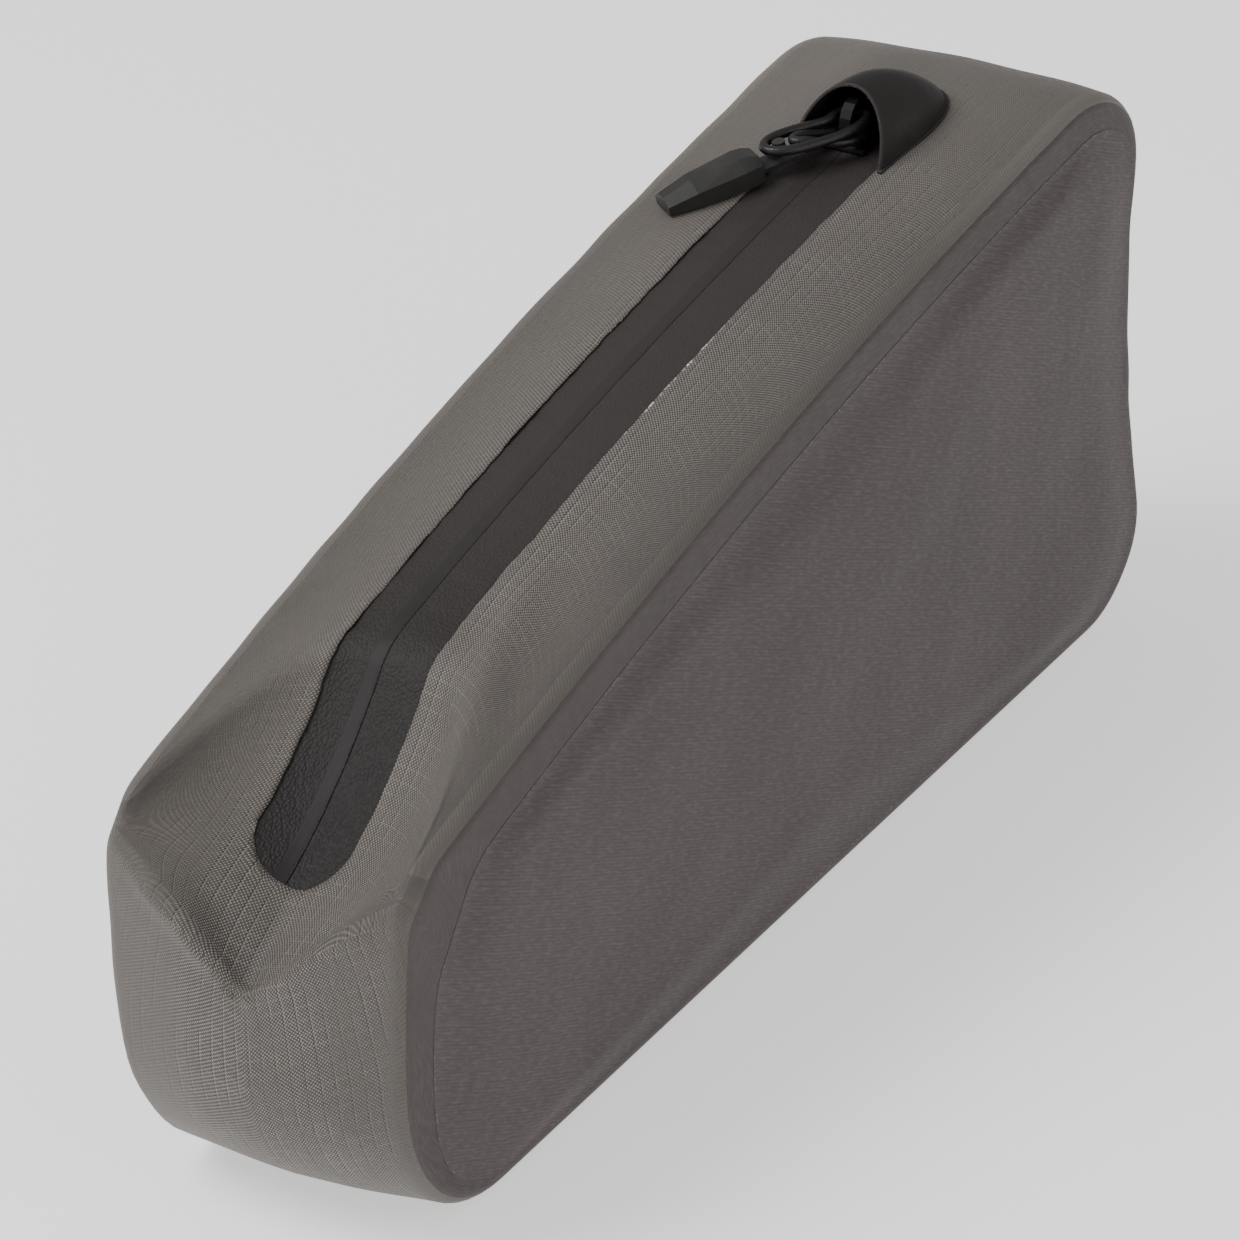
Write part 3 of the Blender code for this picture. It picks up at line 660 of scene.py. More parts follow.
@dataclass(frozen=True)
class SoftRubber(Finish):
    """Black rubbery film or moulding, with a fine matt grain and faint scuffs."""

    name: str = "hood_rubber"
    ground: Colour = (0.0120, 0.0088, 0.0080)
    scuffed: Colour = (0.0240, 0.0185, 0.0170)
    roughness: float = 0.56
    grain: Grain = Grain(1400.0, 3.0, 0.6)
    depth: float = 0.00003
    scuffs: Grain = Grain(130.0, 4.0, 0.65, (0.46, 0.74))
    swells: Grain = Grain(190.0)
    swell_depth: float = 0.00018

    def _inputs(self, graph: Graph, place: bpy.types.NodeSocket) -> Inputs:
        """Work out the shader's inputs.

        Args:
            graph: The material's graph.
            place: The object's coordinates.

        Returns:
            The inputs by name.
        """
        fine = graph.noise(place, self.grain)
        scuffs = graph.noise(place, self.scuffs)
        colour = graph.mix((scuffs * 0.7 + fine * 0.2).within(), self.ground, self.scuffed)
        soft = graph.relief(graph.noise(place, self.swells), self.swell_depth)
        return {
            "Base Color": colour,
            "Roughness": self.roughness + fine * 0.08 - scuffs * 0.06,
            "Normal": graph.relief(fine, self.depth, soft),
            "Specular IOR Level": 0.42,
        }


@dataclass(frozen=True)
class CutEdge(Finish):
    """The pale cut edge of a laminate, with tiny frays."""

    name: str = "cut_edge"
    ground: Colour = (0.055, 0.050, 0.046)
    fibre: Colour = (0.400, 0.380, 0.350)
    frays: Grain = Grain(1500.0, 2.0, 0.7, (0.52, 0.68))
    stretches: Grain = Grain(120.0, span=(0.45, 0.62))
    depth: float = 0.00008

    def _inputs(self, graph: Graph, place: bpy.types.NodeSocket) -> Inputs:
        """Work out the shader's inputs.

        Args:
            graph: The material's graph.
            place: The object's coordinates.

        Returns:
            The inputs by name.
        """
        frays = graph.noise(place, self.frays)
        colour = graph.mix(frays * graph.noise(place, self.stretches), self.ground, self.fibre)
        normal = graph.relief(frays, self.depth)
        return {"Base Color": colour, "Roughness": 0.70, "Normal": normal}


@dataclass(frozen=True)
class SeamThread(Finish):
    """The line of tiny stitches along a side panel's edge."""

    name: str = "seam_thread"
    ground: Colour = (0.050, 0.040, 0.041)
    stitch: Colour = (0.150, 0.132, 0.128)
    stitching: Grain = Grain(1500.0, 1.0, span=(0.50, 0.62))
    wear: Grain = Grain(55.0, span=(0.46, 0.60))
    depth: float = 0.00006

    def _inputs(self, graph: Graph, place: bpy.types.NodeSocket) -> Inputs:
        """Work out the shader's inputs.

        Args:
            graph: The material's graph.
            place: The object's coordinates.

        Returns:
            The inputs by name.
        """
        stitches = graph.noise(place, self.stitching) * graph.noise(place, self.wear)
        colour = graph.mix(stitches, self.ground, self.stitch)
        normal = graph.relief(stitches, self.depth)
        return {"Base Color": colour, "Roughness": 0.70, "Normal": normal}


@dataclass(frozen=True)
class CordSheath(Finish):
    """A smooth black cord with a soft shine and a faint braid."""

    name: str = "cord_sheath"
    ground: Colour = (0.006, 0.005, 0.005)
    worn: Colour = (0.018, 0.016, 0.016)
    wear: Grain = Grain(260.0, 3.0, span=(0.45, 0.75))
    braid: float = 2600.0
    depth: float = 0.00004

    def _inputs(self, graph: Graph, place: bpy.types.NodeSocket) -> Inputs:
        """Work out the shader's inputs.

        Args:
            graph: The material's graph.
            place: The object's coordinates.

        Returns:
            The inputs by name.
        """
        braid = graph.cells(place, self.braid, 0.5)
        wear = graph.noise(place, self.wear)
        colour = graph.mix((braid * 0.35 + wear * 0.5).within(), self.ground, self.worn)
        normal = graph.relief(braid, self.depth)
        rough = 0.40 + wear * 0.12
        return {"Base Color": colour, "Roughness": rough, "Normal": normal, "Specular IOR Level": 0.5}


@dataclass(frozen=True)
class BlackPaint(Finish):
    """The slider's black baked paint over metal."""

    name: str = "slider_paint"
    ground: Colour = (0.003, 0.003, 0.003)
    paler_tone: Colour = (0.010, 0.010, 0.010)
    wear: Grain = Grain(700.0, 3.0, 0.6, (0.56, 0.78))
    grain: Grain = Grain(2200.0)
    depth: float = 0.00002

    def _inputs(self, graph: Graph, place: bpy.types.NodeSocket) -> Inputs:
        """Work out the shader's inputs.

        Args:
            graph: The material's graph.
            place: The object's coordinates.

        Returns:
            The inputs by name.
        """
        rub = graph.noise(place, self.wear)
        colour = graph.mix(rub * 0.6, self.ground, self.paler_tone)
        normal = graph.relief(graph.noise(place, self.grain), self.depth)
        rough = 0.56 - rub * 0.08
        return {"Base Color": colour, "Roughness": rough, "Normal": normal, "Specular IOR Level": 0.25}


# Shape of the bag


@dataclass(frozen=True)
class Corner:
    """A corner of the side outline.

    Its x is a share of the length, z one of its end's height, and the radii shares of the front
    height. The dent moves it at the middle of the band, in shares of the tail's height. The inset
    says how many seam widths, or flange depths, the inner rings' corner is in, and the panel drop
    replaces the inset's height for the panel alone.
    """

    name: str
    tall: bool
    x: float
    z: float
    radius: float
    dent: Span
    dent_radius: float
    dent_power: float
    inset: Span
    panel_radius: float
    flange_radius: float
    panel_drop: float | None = None


@dataclass(frozen=True)
class Side:
    """A bowed side of the outline, and how far the band crowns over its rims there."""

    name: str
    steps: int
    bow: float
    dent_bow: float
    crown: float
    crown_end: float


@dataclass(frozen=True)
class Crease:
    """A soft ridge or valley pressed into the cloth along a path.

    The path is in millimetres: from the tail, to the left and up. A valley has a negative height.
    Fade is the share of the path over which the crease grows at its start and dies at its end.
    """

    path: tuple[tuple[float, float, float], ...]
    width: float
    height: float
    fade: Span = (0.25, 0.25)

    def rise(self, points: Array) -> Array:
        """How far the crease lifts each point.

        Args:
            points: Places from the tail, one a row.

        Returns:
            The lift of each, along the cloth's normal.
        """
        nodes = np.array(self.path) / 1000
        best = np.full(len(points), np.inf)
        share = np.zeros(len(points))
        spans = len(nodes) - 1
        for index in range(spans):
            start, end = nodes[index], nodes[index + 1]
            run = end - start
            t = np.clip((points - start) @ run / (run @ run), 0.0, 1.0)
            gap = np.linalg.norm(points - start - t[:, None] * run, axis=1)
            nearer = gap < best
            best = np.where(nearer, gap, best)
            share = np.where(nearer, (index + t) / spans, share)
        start, end = self.fade
        taper = ease(share / start) * ease((1.0 - share) / end)
        return self.height * np.exp(-((best / self.width) ** 2)) * taper


# The length of a round corner's Bezier handle at a right angle, as a share of its radius
ROUND_HANDLE = 0.5523
CREASES = (
    Crease(
        ((73, -10.5, 84.6), (63.5, -11.5, 82.5), (52.5, -13.5, 79.7), (42.4, -16.8, 76.9),
         (33.1, -21.3, 74.1), (24, -24.8, 71.4)),
        0.0030, 0.0010,
    ),
    Crease(
        ((68, -18.5, 82.3), (62.7, -19.0, 81.2), (53.2, -19.3, 79.0), (42.6, -21.9, 76.3),
         (34.8, -24.8, 74.1)),
        0.0032, -0.0008,
    ),
    Crease(
        ((-1.2, 0.4, 44.0), (2.0, 3.0, 49.0), (4.6, 6.4, 52.4), (6.2, 10.7, 55.6), (8.6, 14.7, 58.6)),
        0.0034, -0.0014, (0.06, 0.5),
    ),
    Crease(
        ((-1.2, 0.0, 44.2), (0.0, -4.3, 48.1), (2.3, -8.4, 52.6), (6.1, -13.4, 57.1), (8.5, -19.7, 61.6)),
        0.0022, -0.0009, (0.06, 0.4),
    ),
    Crease(
        ((-1.4, 0.3, 43.4), (-1.0, -6.5, 47.0), (0.9, -14.9, 54.6), (3.0, -23.6, 61.2)),
        0.0019, 0.0008, (0.06, 0.25),
    ),
    Crease(
        ((-1.4, 0.5, 43.6), (-0.9, 3.6, 46.0), (-0.2, 8.2, 49.7), (0.6, 12.8, 53.2), (1.4, 17.5, 56.3),
         (2.0, 22.1, 58.3)),
        0.0019, 0.0008, (0.06, 0.25),
    ),
)
CORNERS = (
    Corner("tail_bottom", False, 0.000, 0.000, 0.27, (0.0, 0.0), 0.27, 1.0, (1.0, 1.0), 0.19, 0.168),
    Corner("crease", False, 0.011, 0.915, 0.045, (-0.045, -0.27), 0.03, 1.0, (0.8, -1.8), 0.12, 0.12),
    Corner("crest", False, 0.040, 1.000, 0.080, (0.610, 0.13), 0.20, 3.2, (1.4, -0.6), 0.14, 0.12),
    Corner("front_top", True, 0.974, 1.000, 0.200, (0.0, 0.0), 0.20, 3.2, (-1.0, -1.0), 0.15, 0.12, -0.84),
    Corner("front_bottom", True, 1.000, 0.000, 0.160, (0.0, 0.0), 0.16, 1.0, (-1.0, 1.0), 0.15, 0.12),
)
SIDES = (
    Side("tail", 24, 0.008, 0.004, 0.036, 0.030),
    Side("tail_crease", 36, 0.000, -0.060, 0.030, 0.060),
    Side("top", 150, 0.072, 0.054, 0.066, 0.012),
    Side("front", 44, -0.055, -0.055, 0.020, 0.030),
    Side("underside", 60, 0.000, 0.000, 0.000, 0.000),
)


@dataclass
class BagForm:
    """The bag's outer face, which every soft piece is laid on.

    A place on it is a station round the outline, which may be fractional, and a turn across it:
    -1 to 1 over the band, on to 2 round the rims and on to 3 down the flanges.
    """

    length: float = 0.2436
    to_origin: float = 0.1208
    front_height: float = 0.1076
    tail_height: float = 0.0680
    width_top: float = 0.0574
    width_bottom: float = 0.0482
    tail_flare: float = 0.0012
    rim_radius: float = 0.0028
    flange_depth: float = 0.0120
    seam_tail: float = 0.0095
    seam_top: float = 0.0094
    seam_front: float = 0.0026
    seam_bottom: float = 0.0027
    patch_tail: float = 0.1740
    patch_length: float = 0.0360
    patch_ramp: float = 0.0020
    patch_thickness: float = 0.0015
    patch_reach: float = 1.5
    arc_steps: int = 15
    dent_softness: float = 0.025
    probe: Span = (0.4, 0.03)

    def __post_init__(self) -> None:
        """Work out the outlines once."""
        self.rim, self.middle, self.inner, self.panel = (self._outline(ring) for ring in Ring)
        self.count = len(self.rim)
        self.crown, self.power = self._profiles()
        along = np.roll(self.rim, -1, axis=0) - np.roll(self.rim, 1, axis=0)
        out = np.stack([-along[:, 1], along[:, 0]], axis=1)
        self.out = out / np.linalg.norm(out, axis=1)[:, None]
        steps = np.linalg.norm(np.roll(self.rim, -1, axis=0) - self.rim, axis=1)
        self.walked = np.concatenate([[0.0], np.cumsum(steps)])

    def _corners(self, ring: Ring) -> Array:
        """The five corners of a ring, clockwise from the underside's tail corner.

        Args:
            ring: The ring.

        Returns:
            One corner a row, as (x, z) from the tail.
        """
        found = []
        for corner in CORNERS:
            height = self.front_height if corner.tall else self.tail_height
            spot = np.array([corner.x * self.length, corner.z * height])
            if ring is Ring.MIDDLE:
                spot = spot + np.array(corner.dent) * self.tail_height
            elif ring is Ring.FLANGE:
                spot = spot + np.array(corner.inset) * self.flange_depth
            elif ring is Ring.PANEL:
                across, drop = corner.inset
                drop = drop if corner.panel_drop is None else corner.panel_drop
                end = self.seam_front if corner.tall else self.seam_tail
                level = self.seam_bottom if corner.name.endswith("bottom") else self.seam_top
                spot = spot + np.array([across * end, drop * level])
            found.append(spot)
        return np.array(found)

    def _outline(self, ring: Ring) -> Array:
        """The closed outline of a ring, through rounded corners and bowed sides.

        Args:
            ring: The ring.

        Returns:
            The stations as (x, z), one a row.
        """
        corners = self._corners(ring)
        count = len(corners)
        dented = ring is Ring.MIDDLE
        sizes = [getattr(corner, ring.value) * self.front_height for corner in CORNERS]
        bows = [(side.dent_bow if dented else side.bow) * self.width_top for side in SIDES]
        runs = np.roll(corners, -1, axis=0) - corners
        heads = runs / np.linalg.norm(runs, axis=1)[:, None]
        turns = [math.acos(float(np.clip(heads[i - 1] @ heads[i], -1.0, 1.0))) for i in range(count)]
        reaches = [size * math.tan(turn / 2) for size, turn in zip(sizes, turns)]
        stations: list[Array] = []
        for i, corner in enumerate(corners):
            after = (i + 1) % count
            arrive, leave = heads[i - 1], heads[i]
            start, end = corner - arrive * reaches[i], corner + leave * reaches[i]
            far = corners[after] - leave * reaches[after]
            near = corners[i - 1] + arrive * reaches[i - 1]
            handle = ROUND_HANDLE * sizes[i] * turns[i] / (math.pi / 2)
            first = start + self._slope(near, start, -bows[i - 1]) * handle
            second = end - self._slope(end, far, bows[i]) * handle
            for step in range(self.arc_steps + 1):
                t = step / self.arc_steps
                r = 1.0 - t
                spot = start * r**3 + first * 3 * r**2 * t + second * 3 * r * t**2 + end * t**3
                stations.append(spot)
            outward = np.array([-leave[1], leave[0]])
            for step in range(1, SIDES[i].steps):
                t = step / SIDES[i].steps
                stations.append(end + (far - end) * t + outward * bows[i] * 4 * t * (1 - t))
        return np.array(stations)

    @staticmethod
    def _slope(start: Array, end: Array, bow: float) -> Array:
        """Direction of a bowed side at its start, or at its end with the bow's sign changed."""
        run = end - start
        span = float(np.linalg.norm(run))
        along = run / span
        lean = along + np.array([-along[1], along[0]]) * 4 * bow / span
        return lean / np.linalg.norm(lean)

    def _profiles(self) -> tuple[Array, Array]:
        """How far the band crowns, and how sharply its dent fades, at each station.

        Returns:
            The crowns in metres and the powers.
        """
        crowns: list[float] = []
        powers: list[float] = []
        for index, side in enumerate(SIDES):
            before = SIDES[index - 1].crown_end
            here = CORNERS[index].dent_power
            after = CORNERS[(index + 1) % len(CORNERS)].dent_power
            for step in range(self.arc_steps + 1):
                crowns.append(before + (side.crown - before) * ease(step / self.arc_steps))
                powers.append(here)
            for step in range(1, side.steps):
                t = step / side.steps
                crowns.append(side.crown + (side.crown_end - side.crown) * t)
                powers.append(here + (after - here) * ease(t))
        return np.array(crowns) * self.width_top, np.array(powers)

    def core(self) -> Vector:
        """A point inside the bag, from the tail."""
        return Vector((self.length / 2, 0, self.tail_height / 2))

    def corner_station(self, name: str) -> int:
        """The first station of a corner's arc.

        Args:
            name: The corner's name.

        Returns:
            The station.
        """
        station = 0
        for corner, side in zip(CORNERS, SIDES):
            if corner.name == name:
                return station
            station += self.arc_steps + side.steps
        raise KeyError(name)

    def pick(self, rows: Array, place: Array) -> Array:
        """Rows at fractional stations."""
        low = np.floor(place).astype(int)
        share = place - low
        if rows.ndim > 1:
            share = share[..., None]
        return rows[low % self.count] * (1 - share) + rows[(low + 1) % self.count] * share

    def half_width(self, spots: Array) -> Array:
        """Half the bag's width at places (x, z) on its side, from the tail."""
        x, z = spots[:, 0], spots[:, 1]
        across = self.width_bottom + (self.width_top - self.width_bottom) * z / self.front_height
        return across / 2 + self.tail_flare / 2 * (1 - 2 * x / self.length)

    def half_band(self, place: Array) -> Array:
        """How far the band reaches from its middle to its rims' start."""
        return self.half_width(self.pick(self.rim, place)) - self.rim_radius

    def _patch_seat(self, spots: Array) -> Array:
        """How far the underside steps up over the patch, at places (x, z) from the tail."""
        x, z = spots[:, 0], spots[:, 1]
        ramp = self.patch_ramp
        rise = ease((x - self.patch_tail + 2 * ramp) / ramp)
        fall = ease((self.patch_tail + self.patch_length + 2 * ramp - x) / ramp)
        return np.where(z > self.rim_radius, 0.0, self.patch_thickness * np.minimum(rise, fall))

    def skin(self, place: Array, turn: Array) -> Array:
        """The outer face, from the tail.

        Args:
            place: Stations, which may be fractional.
            turn: Turns across, from -3 to 3.

        Returns:
            One point a row, as (x from the tail, y, z).
        """
        side = np.sign(turn)
        away = np.abs(turn)
        rim = self.pick(self.rim, place)
        out = self.pick(self.out, place)
        share = np.minimum(away, 1.0)
        soft = self.dent_softness
        blunt = (np.sqrt(share**2 + soft**2) - soft) / (math.sqrt(1 + soft**2) - soft)
        crown = self.pick(self.crown, place) * (1 - share**2)
        dent = 1 - blunt ** self.pick(self.power, place)
        band = rim + out * crown[:, None] + (self.pick(self.middle, place) - rim) * dent[:, None]
        band_y = self.half_band(place) * share * side
        band_z = band[:, 1] + self._patch_seat(band)
        angle = np.clip(away - 1.0, 0.0, 1.0) * math.pi / 2
        down = np.clip(away - 2.0, 0.0, 1.0)
        inset = self.rim_radius * (1 - np.cos(angle)) + (self.flange_depth - self.rim_radius) * down
        drop = self.rim_radius * (1 - np.sin(angle))
        portion = inset / self.flange_depth
        spot = rim + (self.pick(self.inner, place) - rim) * portion[:, None]
        on_rim = np.clip((self.patch_reach - away) / (self.patch_reach - 1.0), 0.0, 1.0)
        lift = self._patch_seat(rim) * (1 - portion) * on_rim
        edge_y = side * (self.half_width(spot) - drop)
        on_band = away <= 1.0
        x = np.where(on_band, band[:, 0], spot[:, 0])
        y = np.where(on_band, band_y, edge_y)
        z = np.where(on_band, band_z, spot[:, 1] + lift)
        return np.stack([x, y, z], axis=1)

    def normal(self, place: Array, turn: Array) -> Array:
        """The outward normal at places of the outer face.

        Args:
            place: Stations.
            turn: Turns across.

        Returns:
            One unit vector a row.
        """
        step, swing = self.probe
        ahead = self.skin(place + step, turn) - self.skin(place - step, turn)
        left = self.skin(place, np.minimum(turn + swing, 3.0))
        right = self.skin(place, np.maximum(turn - swing, -3.0))
        found = np.cross(ahead, left - right)
        return found / np.maximum(np.linalg.norm(found, axis=1), 1e-12)[:, None]

    def laid_flat(self, place: Array, turn: Array) -> Array:
        """Where places lie on the cloth before it was made up, along and across it.

        Args:
            place: Stations.
            turn: Turns across.

        Returns:
            One flat place a row.
        """
        low = np.floor(place).astype(int)
        start, end = self.walked[low], self.walked[np.minimum(low + 1, self.count)]
        along = start + (end - start) * (place - low)
        away = np.abs(turn)
        across = self.half_band(place) * np.minimum(away, 1.0)
        across = across + self.rim_radius * math.pi / 2 * np.clip(away - 1, 0, 1)
        across = across + (self.flange_depth - self.rim_radius) * np.clip(away - 2, 0, 1)
        return np.stack([along, across * np.sign(turn)], axis=1)

    def top_turn(self, place: Array, y: Array) -> Array:
        """The turn of places across the top."""
        return y / self.half_band(place)

    def top_place(self, x: Array, y: Array) -> Array:
        """The stations over the top for places on its face.

        Args:
            x: How far each place is from the tail.
            y: How far it is to the left.

        Returns:
            The stations.
        """
        start = self.corner_station("crease") + self.arc_steps // 2
        end = self.corner_station("front_top") + self.arc_steps
        stations = np.arange(start, end + 1, dtype=float)
        found = np.empty(len(x))
        for index, (here, aside) in enumerate(zip(x, y)):
            turn = self.top_turn(stations, np.full(len(stations), aside))
            line = self.skin(stations, turn)[:, 0]
            found[index] = np.interp(here, np.maximum.accumulate(line), stations)
        return found


def ease(share: Array | float) -> Array | float:
    """A smooth step from 0 to 1."""
    share = np.clip(share, 0.0, 1.0)
    return share * share * (3 - 2 * share)


# Meshes


EDGE_SLOT = 1
TRIM_SLOT = 2
SAME_SPOT = 1e-6


@dataclass
class ClothGrid:
    """A grid of cloth laid on a surface, which keeps where each point lies when the cloth is flat."""

    rows: Array
    columns: Array
    trims: tuple[Span, ...] = ()

    def lay(
        self,
        surface: Callable[[Array, Array], Array],
        flat: Callable[[Array, Array], Array],
        inside: Vector,
        starts: tuple[int, ...] = (),
        breaks: tuple[int, ...] = (),
    ) -> bmesh.types.BMesh:
        """Map a flat grid on to a surface.

        Args:
            surface: Gives the places of rows and columns.
            flat: Gives their places on the cloth laid flat.
            inside: A point behind the cloth's outer face.
            starts: The rows that the cloth is unrolled from, in place of flat's places.
            breaks: The rows between the parts that those unroll.

        Returns:
            The mesh, with its outer face outwards and its flat places as UVs.
        """
        mesh = bmesh.new()
        across, along = len(self.columns) - 1, len(self.rows) - 1
        bmesh.ops.create_grid(mesh, x_segments=across, y_segments=along, size=1.0)
        spots = np.array([vert.co[:2] for vert in mesh.verts])
        column = self.columns[np.rint((spots[:, 0] + 1) / 2 * across).astype(int)]
        row = self.rows[np.rint((spots[:, 1] + 1) / 2 * along).astype(int)]
        places = surface(row, column)
        laid = [self._unrolled(places, start) for start in starts] or [flat(row, column)]
        flats = mesh.loops.layers.uv.new(Layer.CLOTH.value)
        turns = mesh.loops.layers.uv.new(Layer.TURN.value)
        mesh.verts.index_update()
        for face in mesh.faces:
            middle = face.calc_center_median()
            turn = np.interp((middle.x + 1) / 2 * across, np.arange(across + 1), self.columns)
            trimmed = any(low < turn < high for low, high in self.trims)
            face.material_index = TRIM_SLOT if trimmed else 0
            part = sum((middle.y + 1) / 2 * along > line for line in breaks)
            for loop in face.loops:
                loop[flats].uv = laid[part][loop.vert.index]
                loop[turns].uv = (column[loop.vert.index], 0.0)
        for vert, spot in zip(mesh.verts, places):
            vert.co = spot
        bmesh.ops.remove_doubles(mesh, verts=mesh.verts[:], dist=SAME_SPOT)
        face_out(mesh, inside)
        return mesh

    def _unrolled(self, places: Array, start: int) -> Array:
        """Where points lie when the cloth is unrolled along and across from one of its rows.

        Args:
            places: The points, column by column within each row.
            start: The row that keeps its place.

        Returns:
            The places on the flat cloth.
        """
        width = len(self.columns)
        net = places.reshape(-1, width, 3)
        rows = np.linalg.norm(np.diff(net, axis=0), axis=2)
        columns = np.linalg.norm(np.diff(net, axis=1), axis=2)
        along = np.cumsum(np.concatenate([np.zeros((1, width)), rows]), axis=0)
        across = np.cumsum(np.concatenate([np.zeros((len(net), 1)), columns], axis=1), axis=1)
        along = along - along[start]
        across = across - across[:, width // 2][:, None]
        return np.stack([along.ravel(), across.ravel()], axis=1)


def face_out(mesh: bmesh.types.BMesh, inside: Vector) -> None:
    """Turn a mesh's faces away from a point behind them.

    Args:
        mesh: The mesh.
        inside: A point behind most of its faces.
    """
    bmesh.ops.recalc_face_normals(mesh, faces=mesh.faces[:])
    mesh.normal_update()
    facing = 0.0
    for face in mesh.faces:
        facing += face.normal.dot(face.calc_center_median() - inside) * face.calc_area()
    if facing < 0:
        bmesh.ops.reverse_faces(mesh, faces=mesh.faces[:])
        mesh.normal_update()


def shown(name: str, mesh: bmesh.types.BMesh, *materials: bpy.types.Material) -> bpy.types.Object:
    """Add a mesh to the scene as a smooth object.

    Args:
        name: The object's name.
        mesh: Its mesh, which is freed.
        materials: Its materials.

    Returns:
        The object.
    """
    data = bpy.data.meshes.new(name)
    mesh.to_mesh(data)
    mesh.free()
    data.shade_smooth()
    for material in materials:
        data.materials.append(material)
    made = bpy.data.objects.new(name, data)
    bpy.context.collection.objects.link(made)
    return made


def waves(points: Array, size: float, seed: int, count: int = 14) -> Array:
    """Smooth uneven waves, about -1 to 1.

    Args:
        points: Places, one a row.
        size: The usual length of a wave in metres.
        seed: Picks the pattern.
        count: How many waves are added.

    Returns:
        The height at each place.
    """
    random = np.random.default_rng(seed)
    total = np.zeros(len(points))
    for _ in range(count):
        heading = random.normal(size=3)
        heading = heading / np.linalg.norm(heading)
        pitch = size * random.uniform(0.7, 1.6)
        total += np.sin(points @ heading * (2 * math.pi / pitch) + random.uniform(0, 2 * math.pi))
    return total / math.sqrt(count)


# Pieces


@dataclass
class Piece:
    """One piece of the bag. Its build method makes it, and place hands it to the frame."""

    form: BagForm
    name: str
    stands_for: tuple[str, ...]
    slot: str

    def build(self) -> bpy.types.Object:
        """Make the piece."""
        raise NotImplementedError

    def place(self) -> bpy.types.Object:
        """Build the piece and tie it to the solids that it stands for.

        Returns:
            The piece.
        """
        made = self.build()
        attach(made, "root")
        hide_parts(*self.stands_for)
        LOG.info("%s: %d faces", self.name, len(getattr(made.data, "polygons", ())))
        return made

    def _made_up(
        self, mesh: bmesh.types.BMesh, thickness: float, *finishes: Finish
    ) -> bpy.types.Object:
        """Move laid cloth into the frame of the solids, finish it and thicken it inwards.

        Args:
            mesh: The laid cloth, from the tail.
            thickness: In metres.
            finishes: For the cloth, its cut edge and its trims.

        Returns:
            The piece.
        """
        bmesh.ops.translate(mesh, verts=mesh.verts[:], vec=(-self.form.to_origin, 0, 0))
        piece = shown(self.name, mesh, *(finish.material() for finish in finishes))
        solid = piece.modifiers.new("thickness", "SOLIDIFY")
        solid.thickness = thickness
        solid.offset = -1.0
        solid.use_even_offset = False
        solid.material_offset_rim = EDGE_SLOT if len(finishes) > EDGE_SLOT else 0
        return piece


@dataclass(frozen=True)
class Slot:
    """The long hole in the top for the zip, with rounded ends, from the tail."""

    width: float = 0.0164
    offset: float = 0.0006
    skew: float = 0.0020
    tail: float = 0.0156
    front: float = 0.2060
    end_radius: float = 0.0068
    probe: float = 1e-5

    def middle(self, x: Array) -> Array:
        """How far the slot's middle lies to the left."""
        return self.offset + self.skew * (self.front - x) / (self.front - self.tail)

    def distance(self, x: Array, y: Array) -> Array:
        """How far places are outside the slot's edge.

        Args:
            x: How far each place is from the tail.
            y: How far it is to the left.

        Returns:
            The distances, negative inside the slot.
        """
        along = np.abs(x - (self.tail + self.front) / 2) - (self.front - self.tail) / 2 + self.end_radius
        across = np.abs(y - self.middle(x)) - self.width / 2 + self.end_radius
        outside = np.hypot(np.maximum(along, 0.0), np.maximum(across, 0.0))
        return outside + np.minimum(np.maximum(along, across), 0.0) - self.end_radius

    def edge_place(self, x: Array, y: Array) -> tuple[Array, Array]:
        """The nearest places of the slot's edge.

        Args:
            x: How far each place is from the tail.
            y: How far it is to the left.

        Returns:
            The edge's places as x and y.
        """
        step = self.probe
        for _ in range(3):
            away = self.distance(x, y)
            along = (self.distance(x + step, y) - self.distance(x - step, y)) / (2 * step)
            across = (self.distance(x, y + step) - self.distance(x, y - step)) / (2 * step)
            x, y = x - away * along, y - away * across
        return x, y


